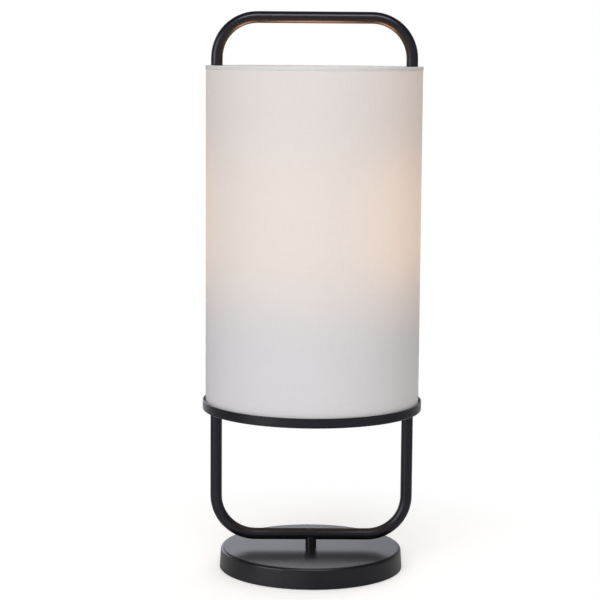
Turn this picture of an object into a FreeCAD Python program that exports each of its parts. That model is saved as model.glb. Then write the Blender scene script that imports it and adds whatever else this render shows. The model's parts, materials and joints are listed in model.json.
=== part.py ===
"""Table lamp: a loop of bent tube on a weighted disc base carries a tall drum shade in a ring.

Sizes are millimetres. The origin is the middle of the underside, +Z is up, the loop lies in the XZ plane
and the front is -Y. Each function makes one piece, and the end saves every piece to its own file.
"""

import FreeCAD
import Part

import math
import os

V = FreeCAD.Vector
ORIGIN = V(0, 0, 0)
Y_AXIS = V(0, 1, 0)
Z_AXIS = V(0, 0, 1)
FULL_TURN = 360.0
QUARTER_TURN = 90.0
OVERSHOOT = 1.0  # how far a cutting tool runs past the face that it cuts

# Loop frame, bent from one length of tube
TUBE_DIAMETER = 12.0
TUBE_WALL = 1.2
BEND_RADIUS = 41.0  # to the tube's centre line
RING_RISE = 133.4  # lower bar's centre line to the ring's underside
HANDLE_GAP = 42.6  # shade's rim to the underside of the handle bar

# Drum shade: cloth on a stiff liner, with a wire rolled into each hemmed edge
SHADE_DIAMETER = 220.0
SHADE_HEIGHT = 350.0
FABRIC_THICKNESS = 0.5
LINER_THICKNESS = 0.5
HEM_THICKNESS = 0.4
HEM_DEPTH = 3.6
RIM_WIRE_DIAMETER = 2.5
RIM_WIRE_PLAY = 0.05
SEAM_WIDTH = 12.0
SEAM_THICKNESS = 0.4

# Ring that carries the shade, an angle section welded to both uprights
RING_THICKNESS = 1.2
RING_HEIGHT = 10.0
RING_EDGE_RADIUS = 0.5
RING_BEND_RADIUS = 1.4  # outside of the corner between the band and the ledge
LEDGE_THICKNESS = 2.0
LEDGE_GRIP = 4.0  # how far the ledge reaches round each upright
SHADE_PLAY = 1.4  # between the hem and the ring
UPRIGHT_CLEARANCE = 1.0  # between the hem and the uprights

# Lead inside the tubes, and its two cores
LEAD_DIAMETER = 3.6
LEAD_TURN_RADIUS = 5.0
LEAD_SETBACK = 9.0  # terminal block to the end of the sheath
LEAD_PASSAGE = 1.7  # room around the lead in the stem
LEAD_HEADROOM = 1.5  # room above the lead where it ducks under the stem
CORE_DIAMETER = 1.6
CORE_SPACING = 1.8
CORE_REACH = 3.0  # length of core inside a terminal sleeve
CORE_TURN_RADIUS = 2.0

# Base: pressed cover, iron weight, bottom plate, screws and pad
BASE_DIAMETER = 190.0
COVER_WALL = 1.5
COVER_DRAFT = 1.2  # the wall comes in by this much from its foot to its top
COVER_EDGE_RADIUS = 3.0  # outside of the bend between the wall and the top
COVER_LIFT = 0.5  # table to the cover's lower edge
WEIGHT_CLEARANCE = 0.5
CLAMP_THICKNESS = 4.8  # iron left between the cover and the stem's washer
WELL_ROOM = 5.0  # spanner room around the stem's nut
CHANNEL_CLEARANCE = 1.5
BOSS_DIAMETER = 12.0
BOSS_HEIGHT = 3.5
BOSS_INSET = 23.0  # plate's edge to the middle of a boss
BOSS_ANGLES = (30.0, 150.0, 270.0)
PLATE_THICKNESS = 1.0
PLATE_CLEARANCE = 0.5
PAD_MARGIN = 1.0
SCREW_DIAMETER = 3.0
SCREW_LENGTH = 7.0
SCREW_HEAD_DIAMETER = 5.6
SCREW_HEAD_HEIGHT = 1.4
SCREW_HEAD_RECESS = 0.6  # screw heads above the table
SCREW_CLEARANCE = 0.2
SCREW_THREAD_PLAY = 0.05
DRIVER_ROOM = 1.2  # around each screw head in the pad

# Stem between the base and the lower bar, with its fixing
STEM_HEIGHT = 6.7  # cover's top face to the underside of the lower bar
STEM_SHOULDER = 0.75
SPIGOT_WALL = 1.5
SPIGOT_CLEARANCE = 0.2
SPIGOT_RUNOUT = 1.0  # thread that stands out of the nut
STEM_WASHER_MARGIN = 2.0  # washer's edge outside the nut's flats
STEM_WASHER_THICKNESS = 1.0
STEM_NUT_WALL = 3.0  # thread to the nut's flats
STEM_NUT_THICKNESS = 4.0
THREAD_PLAY = 0.05

# Cord inlet in the back of the base
GROMMET_BORE = 6.5
GROMMET_WALL = 1.25
GROMMET_LIP = 1.5
GROMMET_FLANGE_THICKNESS = 1.5
GROMMET_NECK_PLAY = 0.1
GROMMET_FLOOR_GAP = 1.0  # bottom plate to the flange

# Terminal block in the base
BLOCK_WALL = 2.5
BLOCK_FLOOR = 0.5
BLOCK_DEPTH = 16.0
BLOCK_HEIGHT = 11.0
BLOCK_DISTANCE = 45.0  # lamp's axis to the block's middle
SLEEVE_ROOM = 0.8  # sleeve's bore over the core's diameter
SLEEVE_WALL = 1.0
SLEEVE_SPACING = 8.5
SLEEVE_PLAY = 0.05
BLOCK_SCREW_DIAMETER = 2.6
BLOCK_SCREW_SPACING = 8.0
BLOCK_SCREW_RECESS = 1.0

# Bridge across the uprights, and the nipple that carries the lampholder
BRIDGE_RISE = 55.5  # ring's underside to the bridge's centre line
BRIDGE_DIAMETER = 10.0
BRIDGE_WALL = 1.0
NIPPLE_BORE = 6.0
NIPPLE_TAIL_WALL = 1.0
NIPPLE_TAIL_LENGTH = 1.4
NIPPLE_SHOULDER = 1.0
NIPPLE_STANDOFF = 6.0  # bridge's crown to the lampholder
NIPPLE_ENTRY = 9.0  # nipple's reach into the lampholder
LOCK_NUT_WALL = 2.0  # thread to the nut's flats
LOCK_NUT_THICKNESS = 3.0

# Bulb with a 27 mm screw cap
TIP_CLEARANCE = 0.2  # contact tongue to the bulb's tip
TIP_DIAMETER = 9.6
TIP_HEIGHT = 2.0
INSULATOR_HEIGHT = 4.0
CAP_CREST_DIAMETER = 26.2
CAP_THREAD_DEPTH = 0.8
CAP_WALL = 0.5
CAP_PITCH = 3.629
CAP_TURNS = 4
CAP_SKIRT_HEIGHT = 5.0
GLOBE_DIAMETER = 60.0
GLOBE_WALL = 1.2
GLOBE_SEAT_ANGLE = 37.0  # below the globe's middle
HOUSING_OVERLAP = 1.5  # how far the cap reaches into the housing
HOUSING_HEIGHT = 36.0
HOUSING_WALL = 1.5
HOUSING_MARGIN = 1.0
HOUSING_COLLAR = 7.0  # straight part below the globe's seat
HOUSING_HOLLOW = 3.0  # how far the flank curves in
BOARD_THICKNESS = 1.5
BOARD_DROP = 2.5  # globe's seat to the board's top
BOARD_CLEARANCE = 0.3
CHIP_SIDE = 3.0
CHIP_HEIGHT = 0.8
CHIP_COUNT = 8
CHIP_INSET = 10.0  # board's edge to the middle of a chip
DRIVER_WIDTH = 16.0
DRIVER_LENGTH = 28.0
DRIVER_THICKNESS = 1.6
CAPACITOR_DIAMETER = 7.0
CAPACITOR_LENGTH = 12.0

# Lampholder for that cap
SHELL_WALL = 0.4
SHELL_HEIGHT = 24.0
SHELL_CLEARANCE = 0.3  # screw shell to the cap's crests
SHELL_GAP = 3.2  # screw shell to the inside of the lampholder
SHELL_FLANGE_WIDTH = 3.9
HOLDER_WALL = 2.0
HOLDER_NECK_WALL = 4.0
HOLDER_NECK_HEIGHT = 5.0
HOLDER_DOME_HEIGHT = 8.0
HOLDER_CAP_HEIGHT = 25.0
HOLDER_FLOOR_DROP = 1.0  # nipple's end above the cap's floor
HOLDER_BODY_HEIGHT = 30.0
HOLDER_SPIGOT_LENGTH = 4.0
HOLDER_LIP_THICKNESS = 2.5
HOLDER_LIP_CLEARANCE = 1.5  # lip to the cap's crests
HOLDER_GROOVE_DEPTH = 0.6
HOLDER_GROOVE_WIDTH = 1.2
HOLDER_GROOVE_SPACING = 4.0
HOLDER_GROOVE_COUNT = 4
HOLDER_PLAY = 0.2
INSERT_FLANGE_THICKNESS = 3.0
INSERT_RISE = 8.0
TONGUE_MARGIN = 1.3  # screw shell's flange to the contact tongue
TONGUE_WIDTH = 6.0
TONGUE_THICKNESS = 0.5
TONGUE_RISE = 4.0
TONGUE_TOP_LENGTH = 6.0
RIVET_DIAMETER = 2.4
RIVET_PLAY = 0.1
RIVET_HEAD_DIAMETER = 3.6
RIVET_HEAD_HEIGHT = 0.6
POST_SIDE = 4.4
TERMINAL_SCREW_DIAMETER = 2.0
TERMINAL_SCREW_LENGTH = 3.5
TERMINAL_SCREW_HEAD_DIAMETER = 3.6
TERMINAL_SCREW_HEAD_HEIGHT = 1.4
GRUB_SCREW_DIAMETER = 3.0
GRUB_SCREW_HEIGHT = 2.5  # lampholder's foot to the grub screw's axis

# Radii of the shade, the ring and the loop, from the cloth inwards and outwards
TUBE_R = TUBE_DIAMETER / 2
CLOTH_R = SHADE_DIAMETER / 2
LINER_R = CLOTH_R - FABRIC_THICKNESS
LINER_BORE_R = LINER_R - LINER_THICKNESS
RIM_WIRE_R = RIM_WIRE_DIAMETER / 2
RIM_WIRE_PATH_R = LINER_BORE_R - RIM_WIRE_PLAY - RIM_WIRE_R
HEM_BORE_R = RIM_WIRE_PATH_R - RIM_WIRE_R - RIM_WIRE_PLAY
HEM_INNER_R = HEM_BORE_R - HEM_THICKNESS
HEM_OUTER_R = CLOTH_R + HEM_THICKNESS
RING_BORE_R = HEM_OUTER_R + SHADE_PLAY
RING_R = RING_BORE_R + RING_THICKNESS
UPRIGHT_EDGE_R = HEM_INNER_R - UPRIGHT_CLEARANCE
UPRIGHT_X = UPRIGHT_EDGE_R - TUBE_R
LEDGE_R = UPRIGHT_EDGE_R - LEDGE_GRIP

# Radii of the stem, its fixing, the base and the wiring
LEAD_R = LEAD_DIAMETER / 2
STEM_BORE_R = LEAD_R + LEAD_PASSAGE
SPIGOT_R = STEM_BORE_R + SPIGOT_WALL
STEM_R = SPIGOT_R + STEM_SHOULDER
STEM_NUT_FLATS = 2 * (SPIGOT_R + STEM_NUT_WALL)
STEM_WASHER_R = STEM_NUT_FLATS / 2 + STEM_WASHER_MARGIN
WELL_R = STEM_WASHER_R + WELL_ROOM
BASE_R = BASE_DIAMETER / 2
COVER_BORE_R = BASE_R - COVER_WALL
WEIGHT_R = COVER_BORE_R - COVER_DRAFT - WEIGHT_CLEARANCE
PLATE_R = COVER_BORE_R - PLATE_CLEARANCE
BOSS_CIRCLE_R = PLATE_R - BOSS_INSET
GROMMET_BORE_R = GROMMET_BORE / 2
GROMMET_NECK_R = GROMMET_BORE_R + GROMMET_WALL
GROMMET_FLANGE_R = GROMMET_NECK_R + GROMMET_LIP
SLEEVE_BORE_R = (CORE_DIAMETER + SLEEVE_ROOM) / 2
SLEEVE_R = SLEEVE_BORE_R + SLEEVE_WALL
BLOCK_WIDTH = SLEEVE_SPACING + 2 * (SLEEVE_R + BLOCK_WALL)
BLOCK_FRONT = BLOCK_DISTANCE - BLOCK_DEPTH / 2
BLOCK_BACK = BLOCK_DISTANCE + BLOCK_DEPTH / 2

# Heights of the base and the stem, stacked from the table up
PAD_TOP = SCREW_HEAD_HEIGHT + SCREW_HEAD_RECESS
PLATE_TOP = PAD_TOP + PLATE_THICKNESS
WEIGHT_BOTTOM = PLATE_TOP + BOSS_HEIGHT
LEAD_Z = PLATE_TOP + BLOCK_FLOOR + SLEEVE_R
SPIGOT_END = LEAD_Z + LEAD_R + LEAD_HEADROOM
STEM_NUT_BOTTOM = SPIGOT_END + SPIGOT_RUNOUT
STEM_NUT_TOP = STEM_NUT_BOTTOM + STEM_NUT_THICKNESS
WELL_TOP = STEM_NUT_TOP + STEM_WASHER_THICKNESS
WEIGHT_TOP = WELL_TOP + CLAMP_THICKNESS
BASE_TOP = WEIGHT_TOP + COVER_WALL
GROMMET_Z = PLATE_TOP + GROMMET_FLOOR_GAP + GROMMET_FLANGE_R
BLOCK_TOP = PLATE_TOP + BLOCK_HEIGHT
CHANNEL_TOP = max(GROMMET_Z + GROMMET_FLANGE_R, BLOCK_TOP) + CHANNEL_CLEARANCE
CHANNEL_WIDTH = max(2 * GROMMET_FLANGE_R, BLOCK_WIDTH) + 2 * CHANNEL_CLEARANCE

# Heights of the loop, the ring, the shade and the bridge
LOW_BAR_Z = BASE_TOP + STEM_HEIGHT + TUBE_R
RING_Z = LOW_BAR_Z + RING_RISE
SHADE_Z = RING_Z + LEDGE_THICKNESS
RIM_Z = SHADE_Z + SHADE_HEIGHT
TOP_BAR_Z = RIM_Z + HANDLE_GAP + TUBE_R
BRIDGE_R = BRIDGE_DIAMETER / 2
BRIDGE_BORE_R = BRIDGE_R - BRIDGE_WALL
BRIDGE_Z = RING_Z + BRIDGE_RISE
BRIDGE_CROWN_Z = BRIDGE_Z + BRIDGE_R

# Places of the nipple and the lampholder
NIPPLE_BORE_R = NIPPLE_BORE / 2
NIPPLE_TAIL_R = NIPPLE_BORE_R + NIPPLE_TAIL_WALL
NIPPLE_R = NIPPLE_TAIL_R + NIPPLE_SHOULDER
LOCK_NUT_FLATS = 2 * (NIPPLE_R + LOCK_NUT_WALL)
HOLDER_Z = BRIDGE_CROWN_Z + NIPPLE_STANDOFF
NIPPLE_TOP = HOLDER_Z + NIPPLE_ENTRY
CAP_CREST_R = CAP_CREST_DIAMETER / 2
SHELL_BORE_R = CAP_CREST_R + SHELL_CLEARANCE
SHELL_R = SHELL_BORE_R + SHELL_WALL
SHELL_FLANGE_BORE_R = SHELL_BORE_R - SHELL_FLANGE_WIDTH
HOLDER_BORE_R = SHELL_R + SHELL_GAP
HOLDER_R = HOLDER_BORE_R + HOLDER_WALL
HOLDER_SEAT_R = HOLDER_BORE_R - HOLDER_WALL
HOLDER_NECK_R = NIPPLE_R + HOLDER_NECK_WALL
HOLDER_LIP_R = CAP_CREST_R + HOLDER_LIP_CLEARANCE
HOLDER_RIM_Z = HOLDER_Z + HOLDER_CAP_HEIGHT
HOLDER_TOP_Z = HOLDER_RIM_Z + HOLDER_BODY_HEIGHT
INSERT_TOP_Z = HOLDER_RIM_Z - HOLDER_SPIGOT_LENGTH
INSERT_Z = INSERT_TOP_Z - INSERT_FLANGE_THICKNESS
CONTACT_Z = INSERT_TOP_Z + INSERT_RISE
SHELL_RIVET_X = -(SHELL_FLANGE_BORE_R + SHELL_BORE_R) / 2
TONGUE_RIVET_X = SHELL_FLANGE_BORE_R - TONGUE_MARGIN - RIVET_HEAD_DIAMETER / 2
POST_Z = INSERT_Z - POST_SIDE
POST_MIDDLE_Z = INSERT_Z - POST_SIDE / 2
GRUB_SCREW_Z = HOLDER_Z + GRUB_SCREW_HEIGHT

# Places of the bulb's pieces, from its tip up
TIP_Z = CONTACT_Z + TONGUE_RISE + TIP_CLEARANCE
TIP_TOP_Z = TIP_Z + TIP_HEIGHT
CAP_Z = TIP_TOP_Z + INSULATOR_HEIGHT
CAP_SKIRT_Z = CAP_Z + CAP_TURNS * CAP_PITCH
CAP_TOP_Z = CAP_SKIRT_Z + CAP_SKIRT_HEIGHT
HOUSING_Z = CAP_TOP_Z - HOUSING_OVERLAP
GLOBE_R = GLOBE_DIAMETER / 2
GLOBE_SEAT_R = GLOBE_R * math.cos(math.radians(GLOBE_SEAT_ANGLE))
GLOBE_SEAT_Z = HOUSING_Z + HOUSING_HEIGHT
GLOBE_CENTRE_Z = GLOBE_SEAT_Z + GLOBE_R * math.sin(math.radians(GLOBE_SEAT_ANGLE))
HOUSING_SEAT_R = GLOBE_SEAT_R + HOUSING_MARGIN
BOARD_R = HOUSING_SEAT_R - HOUSING_WALL - BOARD_CLEARANCE
BOARD_TOP_Z = GLOBE_SEAT_Z - BOARD_DROP
BOARD_Z = BOARD_TOP_Z - BOARD_THICKNESS


# Shared ways of making a solid


def revolved(outline):
    """Solid turned about the lamp's axis from a closed outline of (radius, height) points."""
    corners = [V(radius, 0, height) for radius, height in outline]
    face = Part.Face(Part.makePolygon(corners + corners[:1]))
    return face.revolve(ORIGIN, Z_AXIS, FULL_TURN)


def disc(radius, bottom, top, x=0.0, y=0.0):
    """Upright cylinder from one height to another."""
    return Part.makeCylinder(radius, top - bottom, V(x, y, bottom))


def pipe(radius, bore_radius, bottom, top, x=0.0, y=0.0):
    """Upright tube from one height to another."""
    return disc(radius, bottom, top, x, y).cut(disc(bore_radius, bottom, top, x, y))


def rod(radius, start, end):
    """Cylinder from one point to another."""
    return Part.makeCylinder(radius, (end - start).Length, start, end - start)


def block(size_x, size_y, bottom, top, x=0.0, y=0.0):
    """Upright box centred on a point."""
    return Part.makeBox(size_x, size_y, top - bottom, V(x - size_x / 2, y - size_y / 2, bottom))


def hexagon(across_flats, bottom, top):
    """Hexagonal prism about the lamp's axis."""
    reach = across_flats / math.sqrt(3)
    angles = [math.radians(FULL_TURN / 6 * turn) for turn in range(6)]
    corners = [V(reach * math.cos(angle), reach * math.sin(angle), bottom) for angle in angles]
    face = Part.Face(Part.makePolygon(corners + corners[:1]))
    return face.extrude(V(0, 0, top - bottom))


def rounded(solid, radius, heights, circle_radius):
    """Fillet of the round edges that have the given radius and lie at one of the given heights."""
    near = 1e-4
    edges = [
        edge
        for edge in solid.Edges
        if isinstance(edge.Curve, Part.Circle)
        and abs(edge.Curve.Radius - circle_radius) < near
        and any(abs(edge.Curve.Center.z - height) < near for height in heights)
    ]
    return solid.makeFillet(radius, edges)


def rounded_wire(points, radii):
    """Wire of straight runs whose inner corners are tangent arcs of the given radii."""
    edges = []
    start = points[0]
    for before, corner, after, radius in zip(points, points[1:], points[2:], radii):
        back = (before - corner).normalize()
        on = (after - corner).normalize()
        half = back.getAngle(on) / 2
        leg = radius / math.tan(half)
        middle = corner + (back + on).normalize() * (radius / math.sin(half) - radius)
        edges.append(Part.LineSegment(start, corner + back * leg).toShape())
        edges.append(Part.Arc(corner + back * leg, middle, corner + on * leg).toShape())
        start = corner + on * leg
    edges.append(Part.LineSegment(start, points[-1]).toShape())
    return Part.Wire(edges)


def swept(points, radii, diameter):
    """Round tube solid along a wire of runs and arcs."""
    path = rounded_wire(points, radii)
    profile = Part.Wire(Part.makeCircle(diameter / 2, points[0], points[1] - points[0]))
    return path.makePipeShell([profile], True, False)


def boss_points():
    """Places of the bottom plate's screws in plan."""
    angles = [math.radians(angle) for angle in BOSS_ANGLES]
    return [(BOSS_CIRCLE_R * math.cos(angle), BOSS_CIRCLE_R * math.sin(angle)) for angle in angles]


# Base


def wall_draft(height):
    """How far the cover's wall has come in at a height."""
    return COVER_DRAFT * (height - COVER_LIFT) / (BASE_TOP - COVER_LIFT)


def base_cover():
    """Pressed steel cover: drafted wall, rounded upper edge, holes for the stem and the cord inlet."""
    stem_hole_r = SPIGOT_R + SPIGOT_CLEARANCE
    top_r = BASE_R - COVER_DRAFT
    top_bore_r = COVER_BORE_R - wall_draft(WEIGHT_TOP)
    cover = revolved(
        [
            (stem_hole_r, WEIGHT_TOP),
            (top_bore_r, WEIGHT_TOP),
            (COVER_BORE_R, COVER_LIFT),
            (BASE_R, COVER_LIFT),
            (top_r, BASE_TOP),
            (stem_hole_r, BASE_TOP),
        ]
    )
    cover = rounded(cover, COVER_EDGE_RADIUS, [BASE_TOP], top_r)
    cover = rounded(cover, COVER_EDGE_RADIUS - COVER_WALL, [WEIGHT_TOP], top_bore_r)
    inlet_r = GROMMET_NECK_R + GROMMET_NECK_PLAY
    return cover.cut(rod(inlet_r, V(0, WEIGHT_R, GROMMET_Z), V(0, BASE_R + OVERSHOOT, GROMMET_Z)))


def base_weight():
    """Iron disc with a well for the nut, a wiring channel to the back and bosses for the bottom plate."""
    bosses = [disc(BOSS_DIAMETER / 2, PLATE_TOP, WEIGHT_BOTTOM + OVERSHOOT, x, y) for x, y in boss_points()]
    body = rounded(disc(WEIGHT_R, WEIGHT_BOTTOM, WEIGHT_TOP), COVER_EDGE_RADIUS, [WEIGHT_TOP], WEIGHT_R)
    weight = body.multiFuse(bosses).removeSplitter()
    channel_start = STEM_WASHER_R + OVERSHOOT
    channel_end = WEIGHT_R + OVERSHOOT
    channel = block(
        CHANNEL_WIDTH,
        channel_end - channel_start,
        WEIGHT_BOTTOM - OVERSHOOT,
        CHANNEL_TOP,
        y=(channel_start + channel_end) / 2,
    )
    well = disc(WELL_R, WEIGHT_BOTTOM - OVERSHOOT, WELL_TOP)
    stem_hole = disc(SPIGOT_R + SPIGOT_CLEARANCE, WEIGHT_BOTTOM, WEIGHT_TOP + OVERSHOOT)
    thread_r = SCREW_DIAMETER / 2 + SCREW_THREAD_PLAY
    thread_end = PAD_TOP + SCREW_LENGTH + OVERSHOOT
    threads = [disc(thread_r, PAD_TOP, thread_end, x, y) for x, y in boss_points()]
    return weight.cut([channel, well, stem_hole] + threads)


def bottom_plate():
    """Sheet-steel disc that closes the base."""
    hole_r = SCREW_DIAMETER / 2 + SCREW_CLEARANCE
    holes = [disc(hole_r, PAD_TOP, PLATE_TOP, x, y) for x, y in boss_points()]
    return disc(PLATE_R, PAD_TOP, PLATE_TOP).cut(holes)


def bottom_plate_screws():
    """Pan-head screws that hold the bottom plate to the weight."""
    screws = []
    for x, y in boss_points():
        shank = disc(SCREW_DIAMETER / 2, PAD_TOP, PAD_TOP + SCREW_LENGTH, x, y)
        head = disc(SCREW_HEAD_DIAMETER / 2, PAD_TOP - SCREW_HEAD_HEIGHT, PAD_TOP, x, y)
        screws.append(shank.fuse(head))
    return Part.makeCompound(screws)


def base_pad():
    """Soft pad that the lamp stands on, with a hole over each screw head."""
    hole_r = SCREW_HEAD_DIAMETER / 2 + DRIVER_ROOM
    holes = [disc(hole_r, 0, PAD_TOP, x, y) for x, y in boss_points()]
    return disc(PLATE_R - PAD_MARGIN, 0, PAD_TOP).cut(holes)


def cord_grommet():
    """Rubber bush in the back of the cover, for the supply cord."""
    narrow_bore_r = COVER_BORE_R - wall_draft(GROMMET_Z + GROMMET_FLANGE_R)
    inner_seat = math.sqrt(narrow_bore_r**2 - GROMMET_FLANGE_R**2)
    inner_end = inner_seat - GROMMET_FLANGE_THICKNESS
    outer_seat = BASE_R - wall_draft(GROMMET_Z - GROMMET_FLANGE_R)
    outer_end = outer_seat + GROMMET_FLANGE_THICKNESS
    stretches = [
        (GROMMET_FLANGE_R, inner_end, inner_seat),
        (GROMMET_NECK_R, inner_seat, outer_seat),
        (GROMMET_FLANGE_R, outer_seat, outer_end),
    ]
    solids = [rod(radius, V(0, start, GROMMET_Z), V(0, end, GROMMET_Z)) for radius, start, end in stretches]
    bore = rod(GROMMET_BORE_R, V(0, inner_end, GROMMET_Z), V(0, outer_end, GROMMET_Z))
    return solids[0].multiFuse(solids[1:]).removeSplitter().cut(bore)


# Terminal block


def sleeve_sides():
    """The two sides that the block's sleeves lie on."""
    return [-SLEEVE_SPACING / 2, SLEEVE_SPACING / 2]


def sleeve_rods(radius):
    """Rods through the block along both sleeves."""
    return [rod(radius, V(x, BLOCK_FRONT, LEAD_Z), V(x, BLOCK_BACK, LEAD_Z)) for x in sleeve_sides()]


def block_screw_rods(radius, bottom, top):
    """Upright rods at the four clamping screws."""
    rows = (-BLOCK_SCREW_SPACING / 2, BLOCK_SCREW_SPACING / 2)
    return [disc(radius, bottom, top, x, BLOCK_DISTANCE + row) for x in sleeve_sides() for row in rows]


def terminal_block():
    """Insulating body of the block that joins the supply cord to the inner lead."""
    body = block(BLOCK_WIDTH, BLOCK_DEPTH, PLATE_TOP, BLOCK_TOP, y=BLOCK_DISTANCE)
    wells = block_screw_rods(BLOCK_SCREW_DIAMETER / 2 + SLEEVE_PLAY, LEAD_Z, BLOCK_TOP)
    return body.cut(sleeve_rods(SLEEVE_R + SLEEVE_PLAY) + wells)


def terminal_sleeves():
    """Brass tubes that hold the wire ends, drilled for the clamping screws."""
    drills = block_screw_rods(BLOCK_SCREW_DIAMETER / 2 + SLEEVE_PLAY, LEAD_Z, BLOCK_TOP)
    pairs = zip(sleeve_rods(SLEEVE_R), sleeve_rods(SLEEVE_BORE_R))
    return Part.makeCompound([outside.cut([bore] + drills) for outside, bore in pairs])


def terminal_screws():
    """Clamping screws of the terminal block."""
    bottom, top = LEAD_Z + SLEEVE_BORE_R, BLOCK_TOP - BLOCK_SCREW_RECESS
    return Part.makeCompound(block_screw_rods(BLOCK_SCREW_DIAMETER / 2, bottom, top))


# Stem


def stem_post():
    """Turned post welded under the lower bar, with a threaded spigot that goes down through the base."""
    post = disc(STEM_R, BASE_TOP, LOW_BAR_Z).fuse(disc(SPIGOT_R, SPIGOT_END, BASE_TOP))
    bar = rod(TUBE_R, V(-TUBE_DIAMETER, 0, LOW_BAR_Z), V(TUBE_DIAMETER, 0, LOW_BAR_Z))
    return post.cut([bar, disc(STEM_BORE_R, SPIGOT_END, LOW_BAR_Z)])


def stem_washer():
    """Washer between the weight and the nut."""
    return pipe(STEM_WASHER_R, SPIGOT_R + SPIGOT_CLEARANCE, STEM_NUT_TOP, WELL_TOP)


def stem_nut():
    """Nut that clamps the weight and the cover to the stem."""
    thread = disc(SPIGOT_R + THREAD_PLAY, STEM_NUT_BOTTOM, STEM_NUT_TOP)
    return hexagon(STEM_NUT_FLATS, STEM_NUT_BOTTOM, STEM_NUT_TOP).cut(thread)


# Loop, ring and bridge


def loop_rod(radius):
    """Solid rod along the loop's centre line: four straight runs and four quarter bends."""
    bend_x = UPRIGHT_X - BEND_RADIUS
    pieces = []
    for side in (-1, 1):
        foot = V(side * UPRIGHT_X, 0, LOW_BAR_Z + BEND_RADIUS)
        head = V(side * UPRIGHT_X, 0, TOP_BAR_Z - BEND_RADIUS)
        pieces.append(rod(radius, foot, head))
        for end, way in ((foot, -1), (head, 1)):
            section = Part.Face(Part.Wire(Part.makeCircle(radius, end, Z_AXIS)))
            pieces.append(section.revolve(V(side * bend_x, 0, end.z), Y_AXIS, -QUARTER_TURN * side * way))
    for height in (LOW_BAR_Z, TOP_BAR_Z):
        pieces.append(rod(radius, V(-bend_x, 0, height), V(bend_x, 0, height)))
    return pieces[0].multiFuse(pieces[1:]).removeSplitter()


def frame_loop():
    """Bent-tube loop: lower bar, two uprights and the handle bar, drilled for the lead."""
    tube = loop_rod(TUBE_R).cut(loop_rod(TUBE_R - TUBE_WALL))
    stem_hole = disc(STEM_BORE_R, LOW_BAR_Z - TUBE_DIAMETER, LOW_BAR_Z)
    bridge_hole = rod(BRIDGE_BORE_R, V(UPRIGHT_X - TUBE_DIAMETER, 0, BRIDGE_Z), V(UPRIGHT_X, 0, BRIDGE_Z))
    return tube.cut([stem_hole, bridge_hole])


def uprights():
    """Outsides of the two uprights as cutting tools for what is welded to them."""
    bottom, top = RING_Z - RING_HEIGHT, BRIDGE_Z + BRIDGE_DIAMETER
    return [disc(TUBE_R, bottom, top, side * UPRIGHT_X) for side in (-1, 1)]


def shade_ring():
    """Angle-section ring: a band around the shade's foot and a ledge under it, notched for the uprights."""
    ring_top = RING_Z + RING_HEIGHT
    ring = revolved(
        [
            (LEDGE_R, RING_Z),
            (RING_R, RING_Z),
            (RING_R, ring_top),
            (RING_BORE_R, ring_top),
            (RING_BORE_R, SHADE_Z),
            (LEDGE_R, SHADE_Z),
        ]
    )
    ring = rounded(ring, RING_BEND_RADIUS, [RING_Z], RING_R)
    return rounded(ring, RING_EDGE_RADIUS, [ring_top], RING_R).cut(uprights())


def bridge_tube():
    """Cross tube between the uprights that carries the lampholder and hides the lead."""
    left, right = V(-UPRIGHT_X, 0, BRIDGE_Z), V(UPRIGHT_X, 0, BRIDGE_Z)
    nipple_hole = disc(NIPPLE_TAIL_R + THREAD_PLAY, BRIDGE_Z, BRIDGE_CROWN_Z)
    return rod(BRIDGE_R, left, right).cut([rod(BRIDGE_BORE_R, left, right), nipple_hole] + uprights())


def holder_nipple():
    """Threaded tube that stands on the bridge and carries the lampholder."""
    tail_end = BRIDGE_CROWN_Z - NIPPLE_TAIL_LENGTH
    body = disc(NIPPLE_R, BRIDGE_CROWN_Z, NIPPLE_TOP).fuse(disc(NIPPLE_TAIL_R, tail_end, BRIDGE_CROWN_Z))
    return body.cut(disc(NIPPLE_BORE_R, tail_end, NIPPLE_TOP))


def nipple_nut():
    """Lock nut under the lampholder."""
    bottom = HOLDER_Z - LOCK_NUT_THICKNESS
    return hexagon(LOCK_NUT_FLATS, bottom, HOLDER_Z).cut(disc(NIPPLE_R + THREAD_PLAY, bottom, HOLDER_Z))


# Lampholder


def holder_cap():
    """Lower shell of the lampholder: a threaded neck that opens into a cup for the insert."""
    thread_r = NIPPLE_R + THREAD_PLAY
    dome_z = HOLDER_Z + HOLDER_NECK_HEIGHT
    cup_z = dome_z + HOLDER_DOME_HEIGHT
    floor_z = NIPPLE_TOP - HOLDER_FLOOR_DROP
    cap = revolved(
        [
            (thread_r, HOLDER_Z),
            (HOLDER_NECK_R, HOLDER_Z),
            (HOLDER_NECK_R, dome_z),
            (HOLDER_R, cup_z),
            (HOLDER_R, HOLDER_RIM_Z),
            (HOLDER_BORE_R, HOLDER_RIM_Z),
            (HOLDER_BORE_R, INSERT_Z),
            (HOLDER_SEAT_R, INSERT_Z),
            (HOLDER_SEAT_R, cup_z),
            (HOLDER_NECK_R, floor_z),
            (thread_r, floor_z),
        ]
    )
    grub_hole_r = GRUB_SCREW_DIAMETER / 2 + THREAD_PLAY
    return cap.cut(rod(grub_hole_r, V(0, 0, GRUB_SCREW_Z), V(0, -HOLDER_R, GRUB_SCREW_Z)))


def holder_grub_screw():
    """Set screw that locks the lampholder on its nipple."""
    end = V(0, -HOLDER_NECK_R, GRUB_SCREW_Z)
    screw = rod(GRUB_SCREW_DIAMETER / 2, V(0, 0, GRUB_SCREW_Z), end)
    return screw.cut(disc(NIPPLE_R + THREAD_PLAY, HOLDER_Z, NIPPLE_TOP))


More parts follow.
